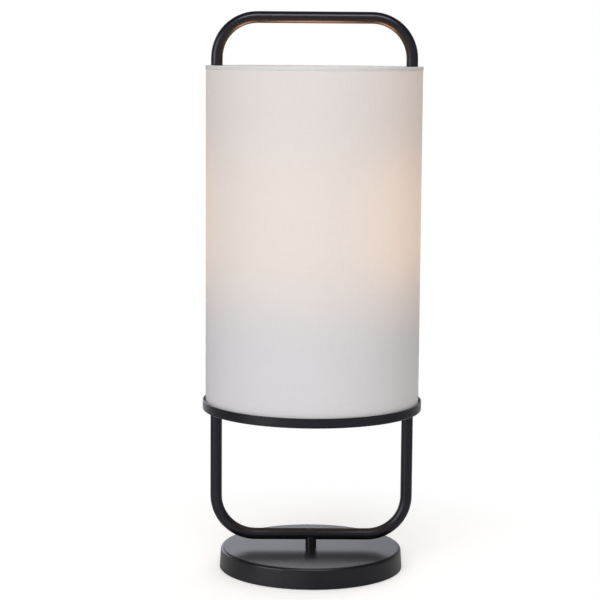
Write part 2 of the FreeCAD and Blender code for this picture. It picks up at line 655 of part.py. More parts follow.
def holder_body():
    """Upper shell of the lampholder, grooved for grip, with a lip that guards the screw shell."""
    spigot_r = HOLDER_BORE_R - HOLDER_PLAY
    shelf_z = HOLDER_RIM_Z + HOLDER_WALL
    lip_z = HOLDER_TOP_Z - HOLDER_LIP_THICKNESS
    body = revolved(
        [
            (HOLDER_SEAT_R, INSERT_TOP_Z),
            (spigot_r, INSERT_TOP_Z),
            (spigot_r, HOLDER_RIM_Z),
            (HOLDER_R, HOLDER_RIM_Z),
            (HOLDER_R, HOLDER_TOP_Z),
            (HOLDER_LIP_R, HOLDER_TOP_Z),
            (HOLDER_LIP_R, lip_z),
            (HOLDER_BORE_R, lip_z),
            (HOLDER_BORE_R, shelf_z),
            (HOLDER_SEAT_R, shelf_z),
        ]
    )
    grooves = []
    for count in range(1, HOLDER_GROOVE_COUNT + 1):
        bottom = HOLDER_RIM_Z + count * HOLDER_GROOVE_SPACING
        top = bottom + HOLDER_GROOVE_WIDTH
        grooves.append(pipe(HOLDER_R + OVERSHOOT, HOLDER_R - HOLDER_GROOVE_DEPTH, bottom, top))
    return body.cut(grooves)


def rivet_holes():
    """Holes for both terminal rivets, through the insert and what lies on it."""
    hole_r = RIVET_DIAMETER / 2 + RIVET_PLAY
    top = CONTACT_Z + TONGUE_RISE
    return [disc(hole_r, INSERT_Z, top, x) for x in (SHELL_RIVET_X, TONGUE_RIVET_X)]


def holder_insert():
    """Insulating insert that carries the contacts."""
    flange = disc(HOLDER_BORE_R - HOLDER_PLAY, INSERT_Z, INSERT_TOP_Z)
    boss = disc(HOLDER_SEAT_R - HOLDER_PLAY, INSERT_TOP_Z, CONTACT_Z)
    return flange.fuse(boss).cut(rivet_holes())


def holder_shell():
    """Brass screw shell with a flange riveted to the insert."""
    flange_top = CONTACT_Z + SHELL_WALL
    shell_top = CONTACT_Z + SHELL_HEIGHT
    shell = revolved(
        [
            (SHELL_FLANGE_BORE_R, CONTACT_Z),
            (SHELL_R, CONTACT_Z),
            (SHELL_R, shell_top),
            (SHELL_BORE_R, shell_top),
            (SHELL_BORE_R, flange_top),
            (SHELL_FLANGE_BORE_R, flange_top),
        ]
    )
    return shell.cut(rivet_holes())


def holder_tongue():
    """Springy centre contact: a foot on the insert, a slope, and a flat that meets the bulb's tip."""
    foot_end = TONGUE_RIVET_X + RIVET_HEAD_DIAMETER / 2
    slope_start = TONGUE_RIVET_X - RIVET_HEAD_DIAMETER / 2
    slope_end = TONGUE_TOP_LENGTH / 2
    flat_top = CONTACT_Z + TONGUE_RISE
    outline = [
        (foot_end, CONTACT_Z),
        (foot_end, CONTACT_Z + TONGUE_THICKNESS),
        (slope_start, CONTACT_Z + TONGUE_THICKNESS),
        (slope_end, flat_top),
        (-slope_end, flat_top),
        (-slope_end, flat_top - TONGUE_THICKNESS),
        (slope_end - TONGUE_THICKNESS, flat_top - TONGUE_THICKNESS),
        (slope_start - TONGUE_THICKNESS, CONTACT_Z),
    ]
    corners = [V(x, -TONGUE_WIDTH / 2, z) for x, z in outline]
    strip = Part.Face(Part.makePolygon(corners + corners[:1])).extrude(V(0, TONGUE_WIDTH, 0))
    return strip.cut(rivet_holes())


def holder_terminals():
    """Terminal posts under the insert, each with a rivet up through it."""
    drill_r = TERMINAL_SCREW_DIAMETER / 2 + SCREW_THREAD_PLAY
    seats = {SHELL_RIVET_X: CONTACT_Z + SHELL_WALL, TONGUE_RIVET_X: CONTACT_Z + TONGUE_THICKNESS}
    terminals = []
    for x, seat in seats.items():
        post = block(POST_SIDE, POST_SIDE, POST_Z, INSERT_Z, x)
        rivet = disc(RIVET_DIAMETER / 2, INSERT_Z, seat, x)
        head = disc(RIVET_HEAD_DIAMETER / 2, seat, seat + RIVET_HEAD_HEIGHT, x)
        drill = rod(drill_r, V(x, -POST_SIDE, POST_MIDDLE_Z), V(x, POST_SIDE, POST_MIDDLE_Z))
        terminals.append(post.multiFuse([rivet, head]).cut(drill))
    return Part.makeCompound(terminals)


def holder_terminal_screws():
    """Screws that clamp the cores in the terminal posts."""
    face = -POST_SIDE / 2
    head_end = face - TERMINAL_SCREW_HEAD_HEIGHT
    tip = face + TERMINAL_SCREW_LENGTH
    screws = []
    for x in (SHELL_RIVET_X, TONGUE_RIVET_X):
        seat = V(x, face, POST_MIDDLE_Z)
        head = rod(TERMINAL_SCREW_HEAD_DIAMETER / 2, V(x, head_end, POST_MIDDLE_Z), seat)
        screws.append(head.fuse(rod(TERMINAL_SCREW_DIAMETER / 2, seat, V(x, tip, POST_MIDDLE_Z))))
    return Part.makeCompound(screws)


# Wiring inside the lamp


def lead_points():
    """Corners of the inner lead's route: base, stem, lower bar, right upright, bridge and nipple."""
    return [
        V(0, BLOCK_FRONT - LEAD_SETBACK, LEAD_Z),
        V(0, 0, LEAD_Z),
        V(0, 0, LOW_BAR_Z),
        V(UPRIGHT_X, 0, LOW_BAR_Z),
        V(UPRIGHT_X, 0, BRIDGE_Z),
        V(0, 0, BRIDGE_Z),
        V(0, 0, NIPPLE_TOP),
    ]


def lead_radii():
    """Bend radii at the inner corners of the lead's route."""
    return [LEAD_TURN_RADIUS, LEAD_TURN_RADIUS, BEND_RADIUS, LEAD_TURN_RADIUS, LEAD_TURN_RADIUS]


def inner_lead():
    """Sheathed lead from the terminal block up to the lampholder, inside the tubes."""
    lead = swept(lead_points(), lead_radii(), LEAD_DIAMETER)
    length = rounded_wire(lead_points(), lead_radii()).Length
    by_length = math.pi * LEAD_R**2 * length
    print(f"lead: bend radii {lead_radii()}, volume {lead.Volume:.1f}, section by length {by_length:.1f}")
    return lead


def lead_cores():
    """The two cores at each end of the lead, to the block's sleeves and to the lampholder's posts."""
    sheath_end = BLOCK_FRONT - LEAD_SETBACK
    third = LEAD_SETBACK / 3
    posts = {-1: SHELL_RIVET_X + POST_SIDE / 2, 1: TONGUE_RIVET_X - POST_SIDE / 2}
    cores = []
    for side, post_x in posts.items():
        near_x, far_x = side * CORE_SPACING / 2, side * SLEEVE_SPACING / 2
        lower = [
            V(near_x, sheath_end, LEAD_Z),
            V(near_x, sheath_end + third, LEAD_Z),
            V(far_x, BLOCK_FRONT - third, LEAD_Z),
            V(far_x, BLOCK_FRONT + CORE_REACH, LEAD_Z),
        ]
        upper = [V(near_x, 0, NIPPLE_TOP), V(near_x, 0, POST_MIDDLE_Z), V(post_x, 0, POST_MIDDLE_Z)]
        cores.append(swept(lower, [CORE_TURN_RADIUS] * 2, CORE_DIAMETER))
        cores.append(swept(upper, [CORE_TURN_RADIUS], CORE_DIAMETER))
    return Part.makeCompound(cores)


# Shade


def shade_fabric():
    """Cloth outside of the drum."""
    return pipe(CLOTH_R, LINER_R, SHADE_Z + HEM_THICKNESS, RIM_Z - HEM_THICKNESS)


def shade_liner():
    """Stiff translucent liner that the cloth is bonded to."""
    return pipe(LINER_R, LINER_BORE_R, SHADE_Z + HEM_THICKNESS, RIM_Z - HEM_THICKNESS)


def shade_hem(edge, way):
    """Tape folded over one edge of the drum and its wire; way is 1 at the rim and -1 at the foot."""
    fold = edge - way * HEM_THICKNESS
    end = edge - way * HEM_DEPTH
    return revolved(
        [
            (HEM_OUTER_R, end),
            (HEM_OUTER_R, edge),
            (HEM_INNER_R, edge),
            (HEM_INNER_R, end),
            (HEM_BORE_R, end),
            (HEM_BORE_R, fold),
            (CLOTH_R, fold),
            (CLOTH_R, end),
        ]
    )


def shade_wire(edge, way):
    """Steel wire that keeps one edge of the drum round; way is 1 at the rim and -1 at the foot."""
    height = edge - way * (HEM_THICKNESS + RIM_WIRE_PLAY + RIM_WIRE_R)
    return Part.makeTorus(RIM_WIRE_PATH_R, RIM_WIRE_R, V(0, 0, height), Z_AXIS)


def shade_seam():
    """Overlap of the cloth down the back of the drum."""
    angle = math.degrees(SEAM_WIDTH / CLOTH_R)
    bottom, top = SHADE_Z + HEM_DEPTH, RIM_Z - HEM_DEPTH
    outer_r = CLOTH_R + SEAM_THICKNESS
    corners = [V(CLOTH_R, 0, bottom), V(outer_r, 0, bottom), V(outer_r, 0, top), V(CLOTH_R, 0, top)]
    strip = Part.Face(Part.makePolygon(corners + corners[:1])).revolve(ORIGIN, Z_AXIS, angle)
    strip.rotate(ORIGIN, Z_AXIS, QUARTER_TURN - angle / 2)
    return strip


# Bulb


def bulb_contact():
    """Metal button on the bulb's tip."""
    return disc(TIP_DIAMETER / 2, TIP_Z, TIP_TOP_Z)


def bulb_insulator():
    """Black glass cone between the tip and the screw cap."""
    top_r = CAP_CREST_R - CAP_THREAD_DEPTH - CAP_WALL / 2
    return revolved([(0, TIP_TOP_Z), (TIP_DIAMETER / 2, TIP_TOP_Z), (top_r, CAP_Z), (0, CAP_Z)])


def bulb_cap():
    """Screw cap: a thin wall with flattened thread crests and a plain skirt."""
    root_r = CAP_CREST_R - CAP_THREAD_DEPTH
    third = CAP_PITCH / 3
    outside = [(root_r, CAP_Z)]
    for turn in range(CAP_TURNS):
        start = CAP_Z + turn * CAP_PITCH
        outside.append((CAP_CREST_R, start + third))
        outside.append((CAP_CREST_R, start + 2 * third))
        outside.append((root_r, start + CAP_PITCH))
    outside.append((CAP_CREST_R, CAP_SKIRT_Z + third))
    outside.append((CAP_CREST_R, CAP_TOP_Z))
    inside = [(radius - CAP_WALL, height) for radius, height in reversed(outside)]
    return revolved(outside + inside)


def housing_points(inset):
    """Points up the housing's side, moved in by inset: foot, hollow of the flank, shoulder and seat."""
    foot = V(CAP_CREST_R + HOUSING_WALL - inset, 0, HOUSING_Z)
    seat = V(HOUSING_SEAT_R - inset, 0, GLOBE_SEAT_Z)
    shoulder = seat - V(0, 0, HOUSING_COLLAR)
    hollow = (foot + shoulder) * 0.5 - V(HOUSING_HOLLOW, 0, 0)
    return foot, hollow, shoulder, seat


def bulb_housing():
    """Flared white housing between the screw cap and the globe, with a shelf for the light board."""
    foot, hollow, shoulder, seat = housing_points(0)
    in_foot, in_hollow, in_shoulder, in_seat = housing_points(HOUSING_WALL)
    curves = [
        Part.Arc(foot, hollow, shoulder),
        Part.LineSegment(shoulder, seat),
        Part.LineSegment(seat, in_seat),
        Part.LineSegment(in_seat, in_shoulder),
        Part.Arc(in_shoulder, in_hollow, in_foot),
        Part.LineSegment(in_foot, foot),
    ]
    face = Part.Face(Part.Wire([curve.toShape() for curve in curves]))
    shell = face.revolve(ORIGIN, Z_AXIS, FULL_TURN)
    shelf = pipe(in_seat.x, in_seat.x - HOUSING_WALL, BOARD_Z - HOUSING_WALL, BOARD_Z)
    return shell.fuse(shelf).cut(disc(CAP_CREST_R, HOUSING_Z, CAP_TOP_Z))


def bulb_globe():
    """Opal globe, open where it stands on the housing."""
    centre = V(0, 0, GLOBE_CENTRE_Z)
    shell = Part.makeSphere(GLOBE_R, centre).cut(Part.makeSphere(GLOBE_R - GLOBE_WALL, centre))
    return shell.cut(disc(GLOBE_DIAMETER, GLOBE_CENTRE_Z - GLOBE_DIAMETER, GLOBE_SEAT_Z))


def bulb_board():
    """Round metal-core board that carries the light chips."""
    return disc(BOARD_R, BOARD_Z, BOARD_TOP_Z)


def bulb_chips():
    """Light chips in a ring on the board."""
    ring_r = BOARD_R - CHIP_INSET
    chips = []
    for count in range(CHIP_COUNT):
        angle = 2 * math.pi * count / CHIP_COUNT
        x, y = ring_r * math.cos(angle), ring_r * math.sin(angle)
        chips.append(block(CHIP_SIDE, CHIP_SIDE, BOARD_TOP_Z, BOARD_TOP_Z + CHIP_HEIGHT, x, y))
    return Part.makeCompound(chips)


def bulb_driver():
    """Driver board under the light board, with its capacitor."""
    board = block(DRIVER_WIDTH, DRIVER_THICKNESS, BOARD_Z - DRIVER_LENGTH, BOARD_Z)
    capacitor_y = (DRIVER_THICKNESS + CAPACITOR_DIAMETER) / 2
    bottom = BOARD_Z - (DRIVER_LENGTH + CAPACITOR_LENGTH) / 2
    capacitor = disc(CAPACITOR_DIAMETER / 2, bottom, bottom + CAPACITOR_LENGTH, y=capacitor_y)
    return Part.makeCompound([board, capacitor])


PIECES = {
    "base_cover": base_cover(),
    "base_weight": base_weight(),
    "bottom_plate": bottom_plate(),
    "bottom_plate_screws": bottom_plate_screws(),
    "base_pad": base_pad(),
    "cord_grommet": cord_grommet(),
    "terminal_block": terminal_block(),
    "terminal_sleeves": terminal_sleeves(),
    "terminal_screws": terminal_screws(),
    "stem_post": stem_post(),
    "stem_washer": stem_washer(),
    "stem_nut": stem_nut(),
    "frame_loop": frame_loop(),
    "shade_ring": shade_ring(),
    "bridge_tube": bridge_tube(),
    "holder_nipple": holder_nipple(),
    "nipple_nut": nipple_nut(),
    "holder_cap": holder_cap(),
    "holder_grub_screw": holder_grub_screw(),
    "holder_body": holder_body(),
    "holder_insert": holder_insert(),
    "holder_shell": holder_shell(),
    "holder_tongue": holder_tongue(),
    "holder_terminals": holder_terminals(),
    "holder_terminal_screws": holder_terminal_screws(),
    "inner_lead": inner_lead(),
    "lead_cores": lead_cores(),
    "shade_fabric": shade_fabric(),
    "shade_liner": shade_liner(),
    "shade_top_hem": shade_hem(RIM_Z, 1),
    "shade_bottom_hem": shade_hem(SHADE_Z, -1),
    "shade_top_wire": shade_wire(RIM_Z, 1),
    "shade_bottom_wire": shade_wire(SHADE_Z, -1),
    "shade_seam": shade_seam(),
    "bulb_contact": bulb_contact(),
    "bulb_insulator": bulb_insulator(),
    "bulb_cap": bulb_cap(),
    "bulb_housing": bulb_housing(),
    "bulb_globe": bulb_globe(),
    "bulb_board": bulb_board(),
    "bulb_chips": bulb_chips(),
    "bulb_driver": bulb_driver(),
}

os.makedirs("parts", exist_ok=True)
for name, shape in PIECES.items():
    shape.exportStep("parts/" + name + ".step")
    print(f"{name}: {len(shape.Solids)} solid, valid {shape.isValid()}, {shape.Volume / 1000:.2f} cm3")
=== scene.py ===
"""Looks of a table lamp: a loop of black tube, a lit drum shade of off-white cloth and a disc base.

Lengths are in metres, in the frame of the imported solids: +Z up, -Y to the front, the table at z = 0.
"""

import json
import logging
import math
from abc import ABC, abstractmethod
from collections.abc import Callable, Iterable, Mapping, Sequence
from dataclasses import dataclass
from enum import Enum

import bmesh
import bpy
from mathutils import Matrix, Vector

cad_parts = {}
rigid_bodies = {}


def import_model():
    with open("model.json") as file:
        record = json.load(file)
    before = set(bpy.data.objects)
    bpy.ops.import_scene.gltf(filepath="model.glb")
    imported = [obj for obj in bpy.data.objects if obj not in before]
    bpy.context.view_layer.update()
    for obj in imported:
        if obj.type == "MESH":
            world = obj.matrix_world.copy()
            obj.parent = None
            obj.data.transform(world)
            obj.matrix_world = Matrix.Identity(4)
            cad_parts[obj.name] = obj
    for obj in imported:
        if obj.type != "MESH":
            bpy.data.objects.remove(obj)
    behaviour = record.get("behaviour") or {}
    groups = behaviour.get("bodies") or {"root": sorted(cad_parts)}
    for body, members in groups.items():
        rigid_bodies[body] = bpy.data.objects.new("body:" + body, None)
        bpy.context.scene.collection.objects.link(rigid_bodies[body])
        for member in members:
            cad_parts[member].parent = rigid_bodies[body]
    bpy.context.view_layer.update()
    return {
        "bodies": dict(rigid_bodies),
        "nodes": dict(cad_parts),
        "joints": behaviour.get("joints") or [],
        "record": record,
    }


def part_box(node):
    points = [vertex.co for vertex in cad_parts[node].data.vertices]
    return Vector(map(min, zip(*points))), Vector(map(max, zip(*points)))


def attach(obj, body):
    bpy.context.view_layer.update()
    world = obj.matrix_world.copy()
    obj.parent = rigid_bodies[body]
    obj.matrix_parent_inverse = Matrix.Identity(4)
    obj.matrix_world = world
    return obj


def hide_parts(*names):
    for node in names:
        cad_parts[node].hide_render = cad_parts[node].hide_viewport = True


LOG = logging.getLogger("table_lamp")
MM = 0.001

# Side of the photograph in pixels
IMAGE_SIDE = 600

Colour = tuple[float, float, float]
Point = tuple[float, float, float]
Span = tuple[float, float]
Frame = Mapping[str, dict]

BLACK: Colour = (0.0, 0.0, 0.0)
WHITE: Colour = (1.0, 1.0, 1.0)

# Keeps only the level part of a vector
LEVEL: Point = (1.0, 1.0, 0.0)

# Angle of the lamp's back, counted round the upright axis from +X
BACK = math.pi / 2


class Body(Enum):
    """Bodies of the lamp that new pieces ride on."""

    SHADE = "shade"


class Edge(Enum):
    """The two hemmed edges of the shade."""

    TOP = "top"
    BOTTOM = "bottom"


class Slot(Enum):
    """Material slots of the lamp's record that are used here."""

    ZINC_STEEL = "zinc_steel"
    BLACK_PAD = "black_pad"
    BLACK_RUBBER = "black_rubber"
    WHITE_PLASTIC = "white_plastic"
    BRASS = "brass"
    BLACK_PLASTIC = "black_plastic"
    WHITE_CERAMIC = "white_ceramic"
    LEAD_SHEATH = "lead_sheath"
    CORE_SHEATH = "core_sheath"
    SHADE_CLOTH = "shade_cloth"
    WHITE_WIRE = "white_wire"
    BULB_METAL = "bulb_metal"
    BULB_BLACK = "bulb_black"
    BULB_WHITE = "bulb_white"
    BOARD_METAL = "board_metal"
    DRIVER_GREEN = "driver_green"


class Wire:
    """A shader socket that takes part in Python arithmetic."""

    def __init__(self, graph: "ShaderGraph", socket: bpy.types.NodeSocket) -> None:
        """Keep the graph and the socket."""
        self.graph = graph
        self.socket = socket

    def __add__(self, other: "Operand") -> "Wire":
        """Add."""
        return self.graph.arithmetic("ADD", self, other)

    def __radd__(self, other: "Operand") -> "Wire":
        """Add, reflected."""
        return self.graph.arithmetic("ADD", other, self)

    def __sub__(self, other: "Operand") -> "Wire":
        """Subtract."""
        return self.graph.arithmetic("SUBTRACT", self, other)

    def __rsub__(self, other: "Operand") -> "Wire":
        """Subtract, reflected."""
        return self.graph.arithmetic("SUBTRACT", other, self)

    def __mul__(self, other: "Operand") -> "Wire":
        """Multiply."""
        return self.graph.arithmetic("MULTIPLY", self, other)

    def __pow__(self, other: "Operand") -> "Wire":
        """Raise a value to a power."""
        return self.graph.arithmetic("POWER", self, other)

    def __abs__(self) -> "Wire":
        """Take a value without its sign."""
        return self.graph.arithmetic("ABSOLUTE", self)

    def sine(self) -> "Wire":
        """Take the sine of a value in radians."""
        return self.graph.arithmetic("SINE", self)

    def larger(self, other: "Operand") -> "Wire":
        """Take the larger of two values."""
        return self.graph.arithmetic("MAXIMUM", self, other)

    def unit(self) -> "Wire":
        """Scale a vector to a length of 1."""
        return self.graph.arithmetic("NORMALIZE", self)

    def dot(self, other: "Operand") -> "Wire":
        """Take the dot product of two vectors."""
        sockets = {0: self, 1: other}
        return self.graph.node("ShaderNodeVectorMath", {"operation": "DOT_PRODUCT"}, sockets, "Value")

    def parts(self) -> tuple["Wire", "Wire", "Wire"]:
        """Split a vector into its X, Y and Z values."""
        x, y, z = self.graph.outputs("ShaderNodeSeparateXYZ", "XYZ", {"Vector": self})
        return x, y, z

    def smooth(self, low: float, high: float) -> "Wire":
        """Ease a value from 0 at low to 1 at high.

        Args:
            low: where the result starts to rise.
            high: where the result reaches 1.

        Returns:
            The eased value.
        """
        ends = {"Value": self, "From Min": low, "From Max": high}
        return self.graph.node("ShaderNodeMapRange", {"interpolation_type": "SMOOTHSTEP"}, ends)

    def mixed(self, other: "Wire", share: float) -> "Wire":
        """Mix another value into this one.

        Args:
            other: the other value.
            share: share of the other value.

        Returns:
            The mixed value.
        """
        return self * (1.0 - share) + other * share

    def about(self, middle: float, spread: float) -> "Wire":
        """Vary a number as this value goes from 0 to 1.

        Args:
            middle: the number at 0.5.
            spread: how far the number goes from lowest to highest.

        Returns:
            The varied number.
        """
        return middle + (self - 0.5) * spread

    def blend(self, start: "Operand", end: "Operand") -> "Wire":
        """Mix two colours, with this value as the share of the second.

        Args:
            start: colour at 0.
            end: colour at 1.

        Returns:
            The mixed colour.
        """
        sockets = {"Factor_Float": self, "A_Color": start, "B_Color": end}
        return self.graph.node("ShaderNodeMix", {"data_type": "RGBA"}, sockets, "Result_Color")


Operand = Wire | float | Sequence[float]


class ShaderGraph:
    """The nodes of one material or of the world."""

    def __init__(self, tree: bpy.types.NodeTree) -> None:
        """Start from an empty tree."""
        self.tree = tree
        self.tree.nodes.clear()

    @staticmethod
    def find(sockets: Iterable[bpy.types.NodeSocket], key: str | int) -> bpy.types.NodeSocket:
        """Find a socket by its place, identifier or name.

        Args:
            sockets: a node's inputs or outputs.
            key: place in the list, identifier or name.

        Returns:
            The socket.
        """
        listed = list(sockets)
        if isinstance(key, int):
            return listed[key]
        by_identifier = [s for s in listed if s.identifier == key]
        by_name = [s for s in listed if s.name == key and s.enabled]
        return (by_identifier + by_name)[0]

    @staticmethod
    def triple(value: Operand) -> Operand:
        """Turn a plain number into three equal parts, and leave anything else."""
        return (value,) * 3 if isinstance(value, (int, float)) else value

    def node(
        self,
        kind: str,
        settings: Mapping[str, object] | None = None,
        sockets: Mapping[str | int, Operand] | None = None,
        out: str | int = 0,
    ) -> Wire:
        """Add a node.

        Args:
            kind: Blender's name of the node's type.
            settings: the node's options, set first.
            sockets: values or wires for its inputs.
            out: which output to return.

        Returns:
            The output's wire.
        """
        made = self.tree.nodes.new(kind)
        for name, setting in (settings or {}).items():
            setattr(made, name, setting)
        for key, value in (sockets or {}).items():
            socket = self.find(made.inputs, key)
            if isinstance(value, Wire):
                self.tree.links.new(value.socket, socket)
            elif socket.type == "RGBA":
                socket.default_value = (*tuple(value)[:3], 1.0)
            else:
                socket.default_value = value
        return Wire(self, self.find(made.outputs, out) if made.outputs else None)

    def outputs(
        self,
        kind: str,
        names: Sequence[str],
        sockets: Mapping[str | int, Operand] | None = None,
    ) -> tuple[Wire, ...]:
        """Add a node whose outputs are used side by side.

        Args:
            kind: Blender's name of the node's type.
            names: names of the outputs.
            sockets: values or wires for its inputs.

        Returns:
            The outputs' wires.
        """
        made = self.node(kind, {}, sockets, names[0]).socket.node
        return tuple(Wire(self, made.outputs[name]) for name in names)

    def arithmetic(self, operation: str, left: Operand, right: Operand | None = None) -> Wire:
        """Add the node that works out an expression on values, vectors or colours.

        Args:
            operation: Blender's name of the operation.
            left: first operand.
            right: second operand, if the operation has one.

        Returns:
            The result's wire.
        """
        kinds = {wire.socket.type for wire in (left, right) if isinstance(wire, Wire)}
        if "RGBA" in kinds:
            settings = {"data_type": "RGBA", "blend_type": operation}
            sockets = {"Factor_Float": 1.0, "A_Color": self.triple(left), "B_Color": self.triple(right)}
            return self.node("ShaderNodeMix", settings, sockets, "Result_Color")
        sockets = {0: left} if right is None else {0: left, 1: right}
        if "VECTOR" in kinds:
            vectors = {place: self.triple(value) for place, value in sockets.items()}
            return self.node("ShaderNodeVectorMath", {"operation": operation}, vectors)
        return self.node("ShaderNodeMath", {"operation": operation}, sockets)

    def place(self) -> Wire:
        """Give the point on the surface in the object's own frame."""
        return self.node("ShaderNodeTexCoord", out="Object")

    def laid_out(self) -> Wire:
        """Give the point on the flat cut of a cloth, in metres."""
        return self.node("ShaderNodeTexCoord", out="UV")

    def ray_kinds(self) -> tuple[Wire, Wire]:
        """Tell rays of the camera and of reflections or clear pieces from rays that only carry light.

        Returns:
            1 for rays of the camera, and 1 for rays of reflections and of clear pieces.
        """
        names = ("Is Camera Ray", "Is Glossy Ray", "Is Transmission Ray")
        camera, glossy, clear = self.outputs("ShaderNodeLightPath", names)
        return camera, glossy.larger(clear)

    def noise(self, where: Wire, size: float, detail: float = 2.0, roughness: float = 0.5) -> Wire:
        """Add cloudy noise from 0 to 1.

        Args:
            where: coordinates in metres.
            size: width of a cloud in metres.
            detail: number of finer layers.
            roughness: strength of the finer layers.

        Returns:
            The noise value.
        """
        sockets = {"Vector": where, "Scale": 1.0 / size, "Detail": detail, "Roughness": roughness}
        return self.node("ShaderNodeTexNoise", {}, sockets, "Fac")

    def bump(self, height: Wire, depth: float, strength: float = 1.0) -> Wire:
        """Turn a height into a tilted normal.

        Args:
            height: relief from 0 to 1.
            depth: height of the relief in metres.
            strength: share of the relief that shows.

        Returns:
            The normal's wire.
        """
        sockets = {"Height": height, "Distance": depth, "Strength": strength}
        return self.node("ShaderNodeBump", {}, sockets)

    def surface(self, sockets: Mapping[str, Operand]) -> None:
        """Finish a material with one surface shader.

        Args:
            sockets: values or wires for the shader's inputs.
        """
        shader = self.node("ShaderNodeBsdfPrincipled", {}, sockets)
        self.node("ShaderNodeOutputMaterial", {}, {"Surface": shader})


class Finish(ABC):
    """A surface treatment that makes one material, which bears its title."""

    title: str

    @abstractmethod
    def paint(self, graph: ShaderGraph) -> None:
        """Fill the material's nodes.

        Args:
            graph: the material's empty graph.
        """

    def material(self) -> bpy.types.Material:
        """Give the material, made on first use.

        Returns:
            The material.
        """
        known = bpy.data.materials.get(self.title)
        if known is not None:
            return known
        made = bpy.data.materials.new(self.title)
        made.use_nodes = True
        self.paint(ShaderGraph(made.node_tree))
        return made


@dataclass(frozen=True)
class PowderCoat(Finish):
    """Satin black powder coat with a fine orange peel."""

    title: str = "black_powder_coat"
    colour: Colour = (0.0036, 0.0036, 0.0044)
    worn_colour: Colour = (0.0056, 0.0056, 0.0067)
    wear_edge: Span = (0.25, 0.75)
    roughness: float = 0.28
    roughness_spread: float = 0.05
    specular: float = 0.5
    gloss_tint: Colour = (0.90, 0.88, 1.0)
    peel_size: float = 0.9 * MM
    peel_depth: float = 0.004 * MM
    speck_size: float = 0.18 * MM
    speck_height: float = 0.12
    speck_share: float = 0.3
    cloud_size: float = 35.0 * MM

    def paint(self, graph: ShaderGraph) -> None:
        """Fill the material's nodes.

        Args:
            graph: the material's empty graph.
        """
        where = graph.place()
        clouds = graph.noise(where, self.cloud_size, detail=3.0)
        peel = graph.noise(where, self.peel_size, detail=1.0)
        specks = graph.noise(where, self.speck_size, detail=1.0)
        relief = peel + specks * self.speck_height
        wear = clouds.mixed(specks, self.speck_share).smooth(*self.wear_edge)
        graph.surface(
            {
                "Base Color": wear.blend(self.colour, self.worn_colour),
                "Roughness": clouds.about(self.roughness, self.roughness_spread),
                "Specular IOR Level": self.specular,
                "Specular Tint": self.gloss_tint,
                "Normal": graph.bump(relief, self.peel_depth),
            }
        )


@dataclass(frozen=True)
class CastIron(Finish):
    """Rough sand-cast iron with a dull dark skin."""

    title: str = "sand_cast_iron"
    colour: Colour = (0.050, 0.048, 0.047)
    pit_colour: Colour = (0.022, 0.020, 0.019)
    wear_edge: Span = (0.35, 0.65)
    roughness: float = 0.72
    roughness_spread: float = 0.2
    metallic: float = 0.4
    worn_metallic: float = 0.3
    grain_size: float = 0.8 * MM
    grain_depth: float = 0.12 * MM
    grain_strength: float = 0.7
    cloud_size: float = 14.0 * MM
    cloud_share: float = 0.4

    def paint(self, graph: ShaderGraph) -> None:
        """Fill the material's nodes.

        Args:
            graph: the material's empty graph.
        """
        where = graph.place()
        grain = graph.noise(where, self.grain_size, detail=4.0, roughness=0.6)
        clouds = graph.noise(where, self.cloud_size, detail=3.0)
        wear = grain.mixed(clouds, self.cloud_share).smooth(*self.wear_edge)
        graph.surface(
            {
                "Base Color": wear.blend(self.pit_colour, self.colour),
                "Roughness": clouds.about(self.roughness, self.roughness_spread),
                "Metallic": self.metallic + wear * self.worn_metallic,
                "Normal": graph.bump(grain, self.grain_depth, self.grain_strength),
            }
        )


@dataclass(frozen=True)
class PlatedMetal(Finish):
    """Bright plated or bare metal with drawn streaks and a little tarnish."""

    slot: Slot
    colour: Colour
    dull_colour: Colour
    roughness: float = 0.28
    streak_size: float = 0.25 * MM
    streak_length: float = 12.0
    streak_depth: float = 0.006 * MM
    streak_roughness: float = 0.12
    cloud_size: float = 6.0 * MM
    tarnish_edge: Span = (0.4, 0.8)
    tarnish_roughness: float = 0.15

    @property
    def title(self) -> str:
        """Name of the material."""
        return f"plated_{self.slot.value}"

    def paint(self, graph: ShaderGraph) -> None:
        """Fill the material's nodes.

        Args:
            graph: the material's empty graph.
        """
        where = graph.place()
        drawn = where * (1.0, 1.0, self.streak_length)
        streaks = graph.noise(drawn, self.streak_size)
        clouds = graph.noise(where, self.cloud_size, detail=4.0, roughness=0.6)
        tarnish = clouds.smooth(*self.tarnish_edge)
        dulled = streaks * self.streak_roughness + tarnish * self.tarnish_roughness
        graph.surface(
            {
                "Base Color": tarnish.blend(self.colour, self.dull_colour),
                "Roughness": self.roughness + dulled,
                "Metallic": 1.0,
                "Normal": graph.bump(streaks, self.streak_depth),
            }
        )


@dataclass(frozen=True)
class Moulded(Finish):
    """Moulded plastic, rubber, foam, ceramic or sheathing with a fine grain."""

    slot: Slot
    colour: Colour
    shade_colour: Colour
    tone_edge: Span = (0.3, 0.7)
    roughness: float = 0.45
    roughness_spread: float = 0.12
    grain_size: float = 0.35 * MM
    grain_depth: float = 0.01 * MM
    grain_share: float = 0.25
    cloud_size: float = 9.0 * MM
    coat: float = 0.0
    coat_roughness: float = 0.12

    @property
    def title(self) -> str:
        """Name of the material."""
        return f"moulded_{self.slot.value}"

    def paint(self, graph: ShaderGraph) -> None:
        """Fill the material's nodes.

        Args:
            graph: the material's empty graph.
        """
        where = graph.place()
        grain = graph.noise(where, self.grain_size)
        clouds = graph.noise(where, self.cloud_size, detail=3.0)
        tone = clouds.mixed(grain, self.grain_share).smooth(*self.tone_edge)
        graph.surface(
            {
                "Base Color": tone.blend(self.shade_colour, self.colour),
                "Roughness": grain.about(self.roughness, self.roughness_spread),
                "Coat Weight": self.coat,
                "Coat Roughness": self.coat_roughness,
                "Normal": graph.bump(grain, self.grain_depth),
            }
        )


